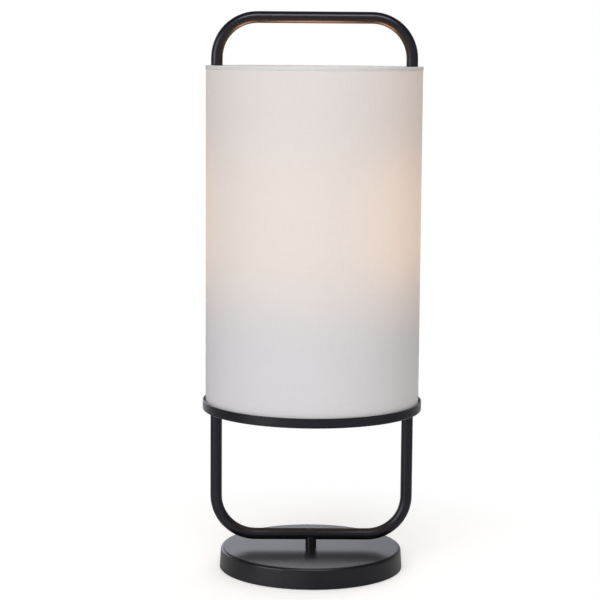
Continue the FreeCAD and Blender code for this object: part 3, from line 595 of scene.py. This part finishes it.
@dataclass(frozen=True)
class PaintedGlow:
    """How the bulb's light shows along a wall of the shade, painted into the wall's emission colour.

    This is painted light: the wall is no lamp, and the painted glow stands in for light that passes through
    it. It grows from the foot up to the bulb, falls off towards the rim and is painted strongest where
    little studio light falls on the wall.
    """

    colour: Colour
    side_colour: Colour
    rise: Span = (0.232, 0.352)
    fall: Span = (0.382, 0.478)
    rim_loss: float = 0.47
    studio_way: Point = (-0.342, -0.940, 0.0)
    studio_edge: Span = (0.35, 0.93)

    def wire(self, graph: ShaderGraph) -> Wire:
        """Give the light's colour at each point of the wall.

        Args:
            graph: the material's graph.

        Returns:
            The colour's wire.
        """
        where = graph.place()
        height = where.parts()[2]
        level = height.smooth(*self.rise) * (1.0 - height.smooth(*self.fall) * self.rim_loss)
        outward = (where * LEVEL).unit()
        studio_lit = outward.dot(self.studio_way).smooth(*self.studio_edge)
        # Painted glow: a height profile times a side share, painted as the wall's emission colour
        return level.blend(BLACK, studio_lit.blend(self.side_colour, self.colour))


@dataclass(frozen=True)
class ShadeCloth(Finish):
    """Plain-woven off-white cloth with slubs, with the bulb's light painted on as a glow where the bulb
    stands behind it.
    """

    title: str
    glow: PaintedGlow | None
    colour: Colour = (0.735, 0.720, 0.742)
    slub_colour: Colour = (0.717, 0.702, 0.723)
    roughness: float = 0.88
    roughness_spread: float = 0.1
    specular: float = 0.2
    sheen: float = 0.12
    sheen_roughness: float = 0.6
    thread: float = 0.42 * MM
    thread_height: float = 0.9
    thread_loss: float = 0.08
    slub_size: float = 0.9 * MM
    slub_length: float = 22.0
    slub_edge: Span = (0.38, 0.62)
    slub_height: float = 0.3
    slub_loss: float = 0.05
    gap_light: float = 1.06
    relief_depth: float = 0.05 * MM
    relief_strength: float = 0.6

    def weave(self, flat: Wire) -> Wire:
        """Raise each thread where it passes over the next, as in a plain weave.

        Args:
            flat: point on the flat cut, in metres.

        Returns:
            Height of the threads from 0 to 1.
        """
        across, along, _ = flat.parts()
        turn = math.pi / self.thread
        warp = (across * turn).sine()
        weft = (along * turn).sine()
        over = warp * weft * 0.5
        return (abs(warp) * (0.5 + over) + abs(weft) * (0.5 - over)) * self.thread_height

    def slubs(self, graph: ShaderGraph, flat: Wire) -> Wire:
        """Draw the thick places of the threads, long in both directions of the weave.

        Args:
            graph: the material's graph.
            flat: point on the flat cut, in metres.

        Returns:
            Thickness from 0 to 1.
        """
        short = 1.0 / self.slub_length
        warp = graph.noise(flat * (1.0, short, 1.0), self.slub_size)
        weft = graph.noise(flat * (short, 1.0, 1.0), self.slub_size)
        return (warp + weft) * 0.5

    def paint(self, graph: ShaderGraph) -> None:
        """Fill the material's nodes.

        Args:
            graph: the material's empty graph.
        """
        flat = graph.laid_out()
        slubs = self.slubs(graph, flat)
        threads = self.weave(flat)
        tone = slubs.smooth(*self.slub_edge)
        relief = threads + slubs * self.slub_height
        sockets: dict[str, Operand] = {
            "Base Color": tone.blend(self.colour, self.slub_colour),
            "Roughness": threads.about(self.roughness, self.roughness_spread),
            "Specular IOR Level": self.specular,
            "Sheen Weight": self.sheen,
            "Sheen Roughness": self.sheen_roughness,
            "Normal": graph.bump(relief, self.relief_depth, self.relief_strength),
        }
        # Painted glow: the bulb's light painted into the emission colour, a little brighter in the gaps
        # between threads
        if self.glow is not None:
            gaps = self.gap_light - threads * self.thread_loss - tone * self.slub_loss
            sockets["Emission Color"] = self.glow.wire(graph) * gaps.blend(BLACK, WHITE)
            sockets["Emission Strength"] = 1.0
        graph.surface(sockets)


@dataclass(frozen=True)
class ShadeLining(Finish):
    """Smooth white film that stiffens the shade, lit from inside by the bulb's lamp and also by a painted
    glow in its emission.
    """

    glow: PaintedGlow
    title: str = "white_lining_film"
    colour: Colour = (0.80, 0.775, 0.735)
    dull_colour: Colour = (0.74, 0.71, 0.665)
    dull_edge: Span = (0.3, 0.7)
    roughness: float = 0.5
    roughness_spread: float = 0.1
    cloud_size: float = 26.0 * MM
    grain_size: float = 0.5 * MM
    grain_depth: float = 0.008 * MM

    def paint(self, graph: ShaderGraph) -> None:
        """Fill the material's nodes.

        Args:
            graph: the material's empty graph.
        """
        where = graph.place()
        clouds = graph.noise(where, self.cloud_size, detail=3.0)
        grain = graph.noise(where, self.grain_size)
        graph.surface(
            {
                "Base Color": clouds.smooth(*self.dull_edge).blend(self.colour, self.dull_colour),
                "Roughness": grain.about(self.roughness, self.roughness_spread),
                # Painted glow: the bulb's light on the lining painted as emission
                "Emission Color": self.glow.wire(graph),
                "Emission Strength": 1.0,
                "Normal": graph.bump(grain, self.grain_depth),
            }
        )


@dataclass(frozen=True)
class OpalGlobe(Finish):
    """Milky globe of the bulb, lit warm white."""

    low: float
    high: float
    title: str = "opal_globe"
    colour: Colour = (0.88, 0.86, 0.82)
    frost_colour: Colour = (0.8448, 0.8256, 0.7872)
    frost_size: float = 0.4 * MM
    frost_depth: float = 0.004 * MM
    foot_light: Colour = (0.78, 0.56, 0.33)
    crown_light: Colour = (1.0, 0.80, 0.53)
    strength: float = 0.6
    roughness: float = 0.3
    roughness_spread: float = 0.1

    def paint(self, graph: ShaderGraph) -> None:
        """Fill the material's nodes.

        Args:
            graph: the material's empty graph.
        """
        where = graph.place()
        rise = where.parts()[2].smooth(self.low, self.high)
        frost = graph.noise(where, self.frost_size)
        graph.surface(
            {
                "Base Color": frost.blend(self.colour, self.frost_colour),
                "Roughness": frost.about(self.roughness, self.roughness_spread),
                "Emission Color": rise.blend(self.foot_light, self.crown_light),
                "Emission Strength": self.strength,
                "Normal": graph.bump(frost, self.frost_depth),
            }
        )


@dataclass(frozen=True)
class LightChip(Finish):
    """Yellow phosphor of the light chips."""

    title: str = "chip_phosphor"
    colour: Colour = (0.85, 0.62, 0.10)
    edge_colour: Colour = (0.72, 0.70, 0.62)
    light: Colour = (1.0, 0.78, 0.45)
    dim_light: Colour = (0.70, 0.546, 0.315)
    strength: float = 2.0
    speckle_size: float = 0.3 * MM
    lit_edge: Span = (0.2, 0.6)
    roughness: float = 0.5
    roughness_spread: float = 0.2

    def paint(self, graph: ShaderGraph) -> None:
        """Fill the material's nodes.

        Args:
            graph: the material's empty graph.
        """
        speckle = graph.noise(graph.place(), self.speckle_size, detail=3.0)
        lit = speckle.smooth(*self.lit_edge)
        graph.surface(
            {
                "Base Color": lit.blend(self.edge_colour, self.colour),
                "Roughness": speckle.about(self.roughness, self.roughness_spread),
                "Emission Color": lit.blend(self.dim_light, self.light),
                "Emission Strength": self.strength,
            }
        )


@dataclass(frozen=True)
class PaleFloor(Finish):
    """Plain white studio floor that keeps the lamp's shadow and fades into the white background."""

    title: str = "studio_floor"
    colour: Colour = (0.90, 0.90, 0.90)
    lift: float = 0.30
    fade: Span = (0.12, 0.42)
    mirrored_dim: float = 0.40
    bright_way: Point = (-0.5, -0.866, 0.0)
    bright_edge: Span = (0.84, 0.96)

    def paint(self, graph: ShaderGraph) -> None:
        """Fill the material's nodes.

        Args:
            graph: the material's empty graph.
        """
        camera, mirrored = graph.ray_kinds()
        where = graph.place()
        x, y, _ = where.parts()
        far = ((x * x + y * y) ** 0.5).smooth(*self.fade)
        bright = where.unit().dot(self.bright_way).smooth(*self.bright_edge)
        lit = graph.node("ShaderNodeBsdfDiffuse", {}, {"Color": self.colour})
        lift, white, dark = (
            graph.node("ShaderNodeEmission", {}, {"Strength": strength})
            for strength in (self.lift, 1.0, 0.0)
        )
        raised = graph.node("ShaderNodeMixShader", {}, {0: camera, 1: dark, 2: lift})
        near = graph.node("ShaderNodeAddShader", {}, {0: lit, 1: raised})
        pale = graph.node("ShaderNodeMixShader", {}, {0: far * camera, 1: near, 2: white})
        dimmed = mirrored * (1.0 - bright) * self.mirrored_dim
        floor = graph.node("ShaderNodeMixShader", {}, {0: dimmed, 1: pale, 2: dark})
        graph.node("ShaderNodeOutputMaterial", {}, {"Surface": floor})


def new_piece(name: str, mesh: bpy.types.Mesh, finish: Finish) -> bpy.types.Object:
    """Put a mesh into the scene with its finish.

    Args:
        name: name of the piece.
        mesh: the mesh, already in place.
        finish: its finish.

    Returns:
        The new object.
    """
    mesh.name = name
    piece = bpy.data.objects.new(name, mesh)
    bpy.context.scene.collection.objects.link(piece)
    mesh.materials.append(finish.material())
    return piece


def sweep_grid(
    columns: int,
    rows: int,
    place: Callable[[float, float], tuple[Point, Span]],
    closed: bool = False,
) -> bpy.types.Mesh:
    """Lay a grid of faces over a surface given by a formula.

    Args:
        columns: number of steps along the first direction.
        rows: number of steps along the second direction.
        place: gives a point and its place on the flat cut, from two shares from 0 to 1.
        closed: whether both directions join up with themselves, as on a ring.

    Returns:
        The mesh, smooth shaded, with the flat cut in metres as its UV map.
    """
    made = bmesh.new()
    layer = made.loops.layers.uv.new("flat_cut")
    past_end = 0 if closed else 1
    grid = [
        [made.verts.new(place(i / columns, j / rows)[0]) for j in range(rows + past_end)]
        for i in range(columns + past_end)
    ]
    for i in range(columns):
        for j in range(rows):
            steps = [(i, j), (i + 1, j), (i + 1, j + 1), (i, j + 1)]
            face = made.faces.new([grid[a % len(grid)][b % len(grid[0])] for a, b in steps])
            face.smooth = True
            for loop, (a, b) in zip(face.loops, steps):
                loop[layer].uv = place(a / columns, b / rows)[1]
    bmesh.ops.recalc_face_normals(made, faces=made.faces)
    mesh = bpy.data.meshes.new("grid")
    made.to_mesh(mesh)
    made.free()
    return mesh


Outfit = Mapping[Finish, tuple[str, ...]]


class Assembly(ABC):
    """A sub-assembly of the lamp, whose solids are dressed together."""

    @abstractmethod
    def outfit(self) -> Outfit:
        """Pair finishes with solids.

        Returns:
            The solids of each finish.
        """

    def dress(self, frame: Frame) -> None:
        """Give each solid its finish.

        Args:
            frame: the loaded frame.
        """
        for finish, nodes in self.outfit().items():
            for node in nodes:
                mesh = frame["nodes"][node].data
                mesh.materials.clear()
                mesh.materials.append(finish.material())
                LOG.info("dressed %s in %s", node, finish.title)


@dataclass
class BaseAssembly(Assembly):
    """Disc base: cover over an iron weight, with its bottom plate, pad, inlet bush and terminals."""

    paint: PowderCoat
    iron: CastIron
    zinc: PlatedMetal
    brass: PlatedMetal
    pad: Moulded
    rubber: Moulded
    plastic: Moulded

    def outfit(self) -> Outfit:
        """Pair finishes with the solids of the base.

        Returns:
            The solids of each finish.
        """
        return {
            self.paint: ("base_cover",),
            self.iron: ("base_weight",),
            self.pad: ("base_pad",),
            self.rubber: ("cord_grommet",),
            self.plastic: ("terminal_block",),
            self.brass: ("terminal_sleeves",),
            self.zinc: ("bottom_plate", "bottom_plate_screws", "terminal_screws"),
        }


@dataclass
class LoopFrame(Assembly):
    """Bent tube loop on its stem, with the shade's ring, the bridge and the lead inside."""

    paint: PowderCoat
    zinc: PlatedMetal
    sheath: Moulded
    cores: Moulded

    def outfit(self) -> Outfit:
        """Pair finishes with the solids of the loop.

        Returns:
            The solids of each finish.
        """
        return {
            self.paint: ("stem_post", "frame_loop", "shade_ring", "bridge_tube"),
            self.zinc: ("stem_washer", "stem_nut"),
            self.sheath: ("inner_lead",),
            self.cores: ("lead_cores",),
        }


@dataclass
class Lampholder(Assembly):
    """Screw lampholder on its nipple."""

    zinc: PlatedMetal
    brass: PlatedMetal
    plastic: Moulded
    ceramic: Moulded

    def outfit(self) -> Outfit:
        """Pair finishes with the solids of the lampholder.

        Returns:
            The solids of each finish.
        """
        return {
            self.zinc: ("holder_nipple", "nipple_nut", "holder_grub_screw", "holder_terminal_screws"),
            self.brass: ("holder_shell", "holder_tongue", "holder_terminals"),
            self.plastic: ("holder_cap", "holder_body"),
            self.ceramic: ("holder_insert",),
        }


@dataclass
class ScrewBulb(Assembly):
    """Screw-in globe bulb with its light board and driver."""

    opal: OpalGlobe
    metal: PlatedMetal
    board: PlatedMetal
    housing: Moulded
    insulator: Moulded
    driver: Moulded
    chips: LightChip

    def outfit(self) -> Outfit:
        """Pair finishes with the solids of the bulb.

        Returns:
            The solids of each finish.
        """
        return {
            self.opal: ("bulb_globe",),
            self.housing: ("bulb_housing",),
            self.insulator: ("bulb_insulator",),
            self.board: ("bulb_board",),
            self.driver: ("bulb_driver",),
            self.chips: ("bulb_chips",),
            self.metal: ("bulb_cap", "bulb_contact"),
        }


@dataclass
class DrumShade(Assembly):
    """Drum of cloth on a stiff lining, lapped at the back, with a taped wire in each edge."""

    cloth: ShadeCloth
    tape: ShadeCloth
    lining: ShadeLining
    wire: Moulded
    radius: float = 110.0 * MM
    foot: float = 169.4 * MM
    rim: float = 519.4 * MM
    cloth_inset: float = 1.0 * MM
    cloth_thickness: float = 0.45 * MM
    lap_width: float = 12.0 * MM
    lap_rise: float = 0.46 * MM
    lap_lead: float = 3.0 * MM
    tape_thickness: float = 0.4 * MM
    tape_depth: float = 3.6 * MM
    tape_inner: float = 106.0 * MM
    tape_round: float = 0.8 * MM
    columns: int = 288
    rows: int = 70
    round_steps: int = 6
    crease: float = math.radians(50.0)

    @property
    def cut(self) -> Span:
        """Width and height of the cloth's flat cut."""
        around = math.tau * (self.radius - self.cloth_thickness / 2)
        return around + self.lap_width, self.rim - self.foot - 2 * self.cloth_inset

    def lap_lift(self, arc: float) -> float:
        """Tell how far the lap lifts what lies over it.

        Args:
            arc: distance round the drum from the middle of the lap.

        Returns:
            The lift, which eases off beside the lap.
        """
        step = (self.lap_width / 2 + self.lap_lead - abs(arc)) / self.lap_lead
        eased = min(max(step, 0.0), 1.0)
        return self.lap_rise * eased * eased * (3 - 2 * eased)

    def cloth_place(self, share: float, height: float) -> tuple[Point, Span]:
        """Place a point of the cloth, whose end laps over its start at the back.

        Args:
            share: share of the way round.
            height: share of the way up.

        Returns:
            The point, and its place on the flat cut.
        """
        around = math.tau * self.radius
        run = share * (around + self.lap_width)
        arc = run - self.lap_width / 2
        angle = BACK + arc / self.radius
        radius = self.radius
        if run > around / 2:
            radius += self.lap_lift(arc - around)
        z = self.foot + self.cloth_inset + height * self.cut[1]
        return (radius * math.cos(angle), radius * math.sin(angle), z), (run, z)

    def tape_profile(self, edge: Edge) -> list[Span]:
        """Draw the cross-section of an edge's tape: out, over the wire and down the inside.

        Args:
            edge: which edge of the shade.

        Returns:
            Closed outline as (radius, height) points.
        """
        tip, inward = (self.rim, -1.0) if edge is Edge.TOP else (self.foot, 1.0)
        thin = self.tape_thickness
        outer = self.radius + thin
        quarter = math.pi / 2
        corners = ((outer - self.tape_round, 0.0), (self.tape_inner + self.tape_round, quarter))
        outside = [(outer, self.tape_depth)]
        for centre, start in corners:
            for step in range(self.round_steps + 1):
                turn = start + quarter * step / self.round_steps
                reach = self.tape_round * math.cos(turn)
                outside.append((centre + reach, self.tape_round * (1.0 - math.sin(turn))))
        outside.append((self.tape_inner, self.tape_depth))
        inside = [
            (self.tape_inner + thin, self.tape_depth),
            (self.tape_inner + thin, thin),
            (self.radius, thin),
            (self.radius, self.tape_depth),
        ]
        return [(r, tip + inward * depth) for r, depth in outside + inside]

    def build_tape(self, edge: Edge) -> bpy.types.Object:
        """Build the tape of one edge.

        Args:
            edge: which edge of the shade.

        Returns:
            The tape.
        """
        outline = self.tape_profile(edge)
        closed = outline + outline[:1]
        lengths = [0.0]
        for start, end in zip(closed, closed[1:]):
            lengths.append(lengths[-1] + math.dist(start, end))

        def place(share: float, along: float) -> tuple[Point, Span]:
            """Place a point of the tape, which passes over the cloth's lap.

            Args:
                share: share of the way round the shade.
                along: share of the way round the outline.

            Returns:
                The point, and its place on the flat tape.
            """
            index = round(along * len(outline))
            r, z = closed[index]
            angle = math.tau * share
            arc = math.remainder(angle - BACK, math.tau) * self.radius
            r += self.lap_lift(arc) * (r - self.tape_inner) / (self.radius - self.tape_inner)
            flat = (angle * self.radius, lengths[index])
            return (r * math.cos(angle), r * math.sin(angle), z), flat

        mesh = sweep_grid(self.columns, len(outline), place, closed=True)
        mesh.set_sharp_from_angle(angle=self.crease)
        name = f"shade_{edge.value}_tape"
        piece = new_piece(name, mesh, self.tape)
        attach(piece, Body.SHADE.value)
        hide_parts(f"shade_{edge.value}_hem")
        LOG.info("built %s", name)
        return piece

    def build(self) -> None:
        mesh = sweep_grid(self.columns, self.rows, self.cloth_place)
        piece = new_piece("shade_cloth", mesh, self.cloth)
        thicken = piece.modifiers.new("thickness", "SOLIDIFY")
        thicken.thickness = self.cloth_thickness
        thicken.offset = -1.0
        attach(piece, Body.SHADE.value)
        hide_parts("shade_fabric", "shade_seam")
        tapes = [self.build_tape(edge) for edge in Edge]
        self.cut
        LOG.info("built shade_cloth from a cut of %.4f by %.4f m", *self.cut)

    def outfit(self) -> Outfit:
        """Pair finishes with the solids that still show: the lining and the rim wires.

        Returns:
            The solids of each finish.
        """
        wires = tuple(f"shade_{edge.value}_wire" for edge in Edge)
        return {self.lining: ("shade_liner",), self.wire: wires}


def hang_lamp(data: bpy.types.Light, place: Point) -> bpy.types.Object:
    """Hang a lamp, out of the camera's sight.

    Args:
        data: the lamp's light.
        place: where it hangs.

    Returns:
        The lamp.
    """
    lamp = bpy.data.objects.new(data.name, data)
    lamp.location = place
    lamp.visible_camera = False
    bpy.context.scene.collection.objects.link(lamp)
    LOG.info("hung %s", data.name)
    return lamp


@dataclass
class Softbox:
    """A square, oblong or round soft lamp."""

    name: str
    place: Point
    target: Point
    side: float
    power: float
    colour: Colour = WHITE
    height: float | None = None
    disc: bool = False
    mirrored: bool = True
    diffused: bool = True

    def build(self) -> None:
        """Hang the lamp and turn it to its target."""
        data = bpy.data.lights.new(self.name, "AREA")
        data.shape = "DISK" if self.disc else "RECTANGLE"
        data.size = self.side
        data.size_y = self.height or self.side
        data.energy = self.power
        data.color = self.colour
        lamp = hang_lamp(data, self.place)
        aim = Vector(self.target) - Vector(self.place)
        lamp.rotation_mode = "QUATERNION"
        lamp.rotation_quaternion = aim.to_track_quat("-Z", "Y")
        lamp.visible_glossy = self.mirrored
        lamp.visible_diffuse = self.diffused


@dataclass
class BulbLight:
    """Warm light of the bulb, as it reaches the lining and what stands near the shade."""

    centre: Point
    radius: float = 31.0 * MM
    power: float = 0.33
    colour: Colour = (1.0, 0.72, 0.42)

    def build(self) -> None:
        """Hang the light round the globe."""
        data = bpy.data.lights.new("bulb_light", "POINT")
        data.shadow_soft_size = self.radius
        data.energy = self.power
        data.color = self.colour
        hang_lamp(data, self.centre)


@dataclass
class Studio:
    """Plain white studio: floor, surrounding light and lamps.

    The lamp's gloss mirrors a dimmer room: darker to the sides and overhead, and bright on a backdrop.
    """

    floor: PaleFloor
    lamps: tuple[Softbox, ...]
    bulb: BulbLight
    floor_radius: float = 0.62
    floor_segments: int = 96
    floor_gap: float = 0.1 * MM
    ambient: float = 0.425
    dim: float = 0.52
    side_dim: float = 0.27
    side_edge: Span = (-0.5, 0.05)
    rear_edge: Span = (0.6, 1.0)
    overhead: float = 0.16
    overhead_edge: Span = (0.2, 0.5)
    backdrop: Point = (-0.41, 0.81, 0.41)
    backdrop_level: float = 1.85
    backdrop_edge: Span = (0.78, 0.94)
    mirrored_tint: Colour = (0.93, 0.945, 1.03)
    right_tint: Colour = (0.98, 0.94, 0.84)
    right_edge: Span = (0.2, 0.9)

    def build_floor(self) -> None:
        """Lay the floor just under the lamp."""
        made = bmesh.new()
        bmesh.ops.create_circle(made, cap_ends=True, segments=self.floor_segments, radius=self.floor_radius)
        mesh = bpy.data.meshes.new("studio_floor")
        made.to_mesh(mesh)
        made.free()
        piece = new_piece("studio_floor", mesh, self.floor)
        piece.location.z = -self.floor_gap

    def build_world(self) -> None:
        """Surround the lamp with soft light that looks white."""
        world = bpy.data.worlds.new("studio")
        world.use_nodes = True
        graph = ShaderGraph(world.node_tree)
        camera, mirrored = graph.ray_kinds()
        way = graph.node("ShaderNodeTexCoord", out="Generated")
        right, back, up = way.parts()
        side = back.smooth(*self.side_edge) * (1.0 - back.smooth(*self.rear_edge))
        level = self.dim + side * (self.side_dim - self.dim)
        lit = way.dot(self.backdrop).smooth(*self.backdrop_edge)
        around = level + lit * (self.backdrop_level - level)
        gloss = around + up.smooth(*self.overhead_edge) * (self.overhead - around)
        strength = self.ambient + camera * (1.0 - self.ambient) + mirrored * (gloss - self.ambient)
        warm = right.smooth(*self.right_edge) * (1.0 - camera)
        colour = mirrored.blend(warm.blend(WHITE, self.right_tint), self.mirrored_tint)
        light = graph.node("ShaderNodeBackground", {}, {"Color": colour, "Strength": strength})
        graph.node("ShaderNodeOutputWorld", {}, {"Surface": light})
        bpy.context.scene.world = world

    def build(self) -> None:
        """Build the floor, the world and the lamps."""
        self.build_floor()
        self.build_world()
        for lamp in self.lamps:
            lamp.build()
        self.bulb.build()


@dataclass
class PhotoCamera:
    """Camera at the photograph's viewpoint, with its angles in degrees."""

    place: Point = (-0.03196, -1.97481, 0.53376)
    tilt: float = 7.319
    turn: float = -0.549
    roll: float = 0.411
    focal_pixels: float = 1934.94
    sensor: float = 36.0
    near: float = 0.05
    far: float = 200.0

    def build(self) -> None:
        """Set the camera up and make it the scene's camera."""
        data = bpy.data.cameras.new("photo_camera")
        data.sensor_width = self.sensor
        data.lens = self.focal_pixels / IMAGE_SIDE * self.sensor
        data.clip_start = self.near
        data.clip_end = self.far
        camera = bpy.data.objects.new("photo_camera", data)
        pose = Matrix.Translation(self.place)
        for angle, axis in ((self.turn, "Z"), (90.0 - self.tilt, "X"), (self.roll, "Z")):
            pose = pose @ Matrix.Rotation(math.radians(angle), 4, axis)
        camera.matrix_world = pose
        bpy.context.scene.collection.objects.link(camera)
        bpy.context.scene.camera = camera


def metals() -> dict[Slot, PlatedMetal]:
    """List the metal finishes.

    Returns:
        Finishes by their slot.
    """
    listed = (
        PlatedMetal(Slot.ZINC_STEEL, (0.62, 0.63, 0.65), (0.48, 0.49, 0.50)),
        PlatedMetal(Slot.BRASS, (0.78, 0.56, 0.24), (0.55, 0.37, 0.15)),
        PlatedMetal(Slot.BULB_METAL, (0.70, 0.69, 0.66), (0.55, 0.54, 0.52)),
        PlatedMetal(Slot.BOARD_METAL, (0.75, 0.76, 0.77), (0.62, 0.63, 0.64), roughness=0.4),
    )
    return {finish.slot: finish for finish in listed}


def mouldings() -> dict[Slot, Moulded]:
    """List the moulded finishes.

    Returns:
        Finishes by their slot.
    """
    listed = (
        Moulded(
            Slot.BLACK_PAD,
            (0.020, 0.020, 0.021),
            (0.011, 0.011, 0.012),
            roughness=0.9,
            grain_size=0.5 * MM,
            grain_depth=0.08 * MM,
        ),
        Moulded(Slot.BLACK_RUBBER, (0.017, 0.017, 0.018), (0.011, 0.011, 0.012), roughness=0.65),
        Moulded(Slot.WHITE_PLASTIC, (0.76, 0.75, 0.72), (0.70, 0.69, 0.66)),
        Moulded(Slot.BLACK_PLASTIC, (0.016, 0.016, 0.017), (0.010, 0.010, 0.011), roughness=0.4),
        Moulded(Slot.WHITE_CERAMIC, (0.80, 0.79, 0.76), (0.75, 0.74, 0.70), roughness=0.3, coat=0.6),
        Moulded(Slot.LEAD_SHEATH, (0.018, 0.018, 0.019), (0.012, 0.012, 0.013), roughness=0.55),
        Moulded(Slot.CORE_SHEATH, (0.20, 0.10, 0.05), (0.15, 0.07, 0.035), roughness=0.5),
        Moulded(Slot.WHITE_WIRE, (0.74, 0.73, 0.71), (0.66, 0.65, 0.62), roughness=0.4),
        Moulded(Slot.BULB_BLACK, (0.020, 0.020, 0.022), (0.013, 0.013, 0.014), roughness=0.25, coat=0.4),
        Moulded(Slot.BULB_WHITE, (0.78, 0.77, 0.75), (0.73, 0.72, 0.70), roughness=0.42),
        Moulded(Slot.DRIVER_GREEN, (0.03, 0.16, 0.07), (0.02, 0.10, 0.05), roughness=0.4, coat=0.3),
    )
    return {finish.slot: finish for finish in listed}


def solid_assemblies(globe: Span) -> tuple[Assembly, ...]:
    """Put together the assemblies that are shown as solids.

    Args:
        globe: lowest and highest point of the bulb's globe.

    Returns:
        The assemblies.
    """
    paint = PowderCoat()
    metal = metals()
    zinc = metal[Slot.ZINC_STEEL]
    brass = metal[Slot.BRASS]
    moulded = mouldings()
    base = BaseAssembly(
        paint=paint,
        iron=CastIron(),
        zinc=zinc,
        brass=brass,
        pad=moulded[Slot.BLACK_PAD],
        rubber=moulded[Slot.BLACK_RUBBER],
        plastic=moulded[Slot.WHITE_PLASTIC],
    )
    loop = LoopFrame(paint, zinc, moulded[Slot.LEAD_SHEATH], moulded[Slot.CORE_SHEATH])
    holder = Lampholder(zinc, brass, moulded[Slot.BLACK_PLASTIC], moulded[Slot.WHITE_CERAMIC])
    bulb = ScrewBulb(
        opal=OpalGlobe(*globe),
        metal=metal[Slot.BULB_METAL],
        board=metal[Slot.BOARD_METAL],
        housing=moulded[Slot.BULB_WHITE],
        insulator=moulded[Slot.BULB_BLACK],
        driver=moulded[Slot.DRIVER_GREEN],
        chips=LightChip(),
    )
    return base, loop, holder, bulb


def lit_shade() -> DrumShade:
    """Put the shade together with its finishes.

    Returns:
        The shade.
    """
    # Colour of the painted glow on the lining
    inside: Colour = (0.42, 0.26, 0.12)
    return DrumShade(
        # The cloth's painted glow: warm where the studio light falls, stronger and warmer on the sides
        cloth=ShadeCloth("woven_shade_cloth", PaintedGlow((0.150, 0.080, 0.008), (0.285, 0.160, 0.070))),
        tape=ShadeCloth("woven_edge_tape", None, (0.738, 0.732, 0.745), (0.720, 0.714, 0.726)),
        lining=ShadeLining(PaintedGlow(inside, inside, rise=(0.12, 0.37))),
        wire=mouldings()[Slot.WHITE_WIRE],
    )


def studio_lamps() -> tuple[Softbox, ...]:
    """List the studio's lamps, of which some only light and some only show in the gloss.

    Returns:
        The lamps.
    """
    middle: Point = (0.0, 0.0, 0.34)
    return (
        Softbox("front_softbox", (-0.42, -2.02, 1.7), middle, side=2.0, power=39.0, mirrored=False),
        Softbox("back_softbox", (0.70, 2.10, 1.15), middle, side=2.0, power=20.0, mirrored=False),
        Softbox(
            name="left_softbox",
            place=(-1.60, -1.25, 0.65),
            target=(0.0, 0.0, 0.35),
            side=1.3,
            power=13.0,
            diffused=False,
        ),
        Softbox(
            name="overhead_softbox",
            place=(0.06, -1.03, 1.58),
            target=(0.06, 0.0, 0.5),
            side=1.3,
            height=0.5,
            power=12.6,
            diffused=False,
        ),
        Softbox(
            name="rim_glow",
            place=(0.0, 0.0, 0.40),
            target=(0.0, 0.0, 1.0),
            side=0.10,
            power=0.33,
            colour=(1.0, 0.48, 0.245),
            disc=True,
            diffused=False,
        ),
    )


def main() -> None:
    """Dress the lamp and set it in its studio."""
    logging.basicConfig(level=logging.INFO, format="%(message)s")
    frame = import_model()
    bpy.context.scene.view_settings.view_transform = "Standard"
    PhotoCamera().build()
    low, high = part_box("bulb_globe")
    for assembly in solid_assemblies((low.z, high.z)):
        assembly.dress(frame)
    shade = lit_shade()
    shade.build()
    shade.dress(frame)
    globe_radius = (high.x - low.x) / 2
    bulb_light = BulbLight((0.0, 0.0, high.z - globe_radius))
    Studio(PaleFloor(), studio_lamps(), bulb_light).build()


if __name__ == "__main__":
    main()
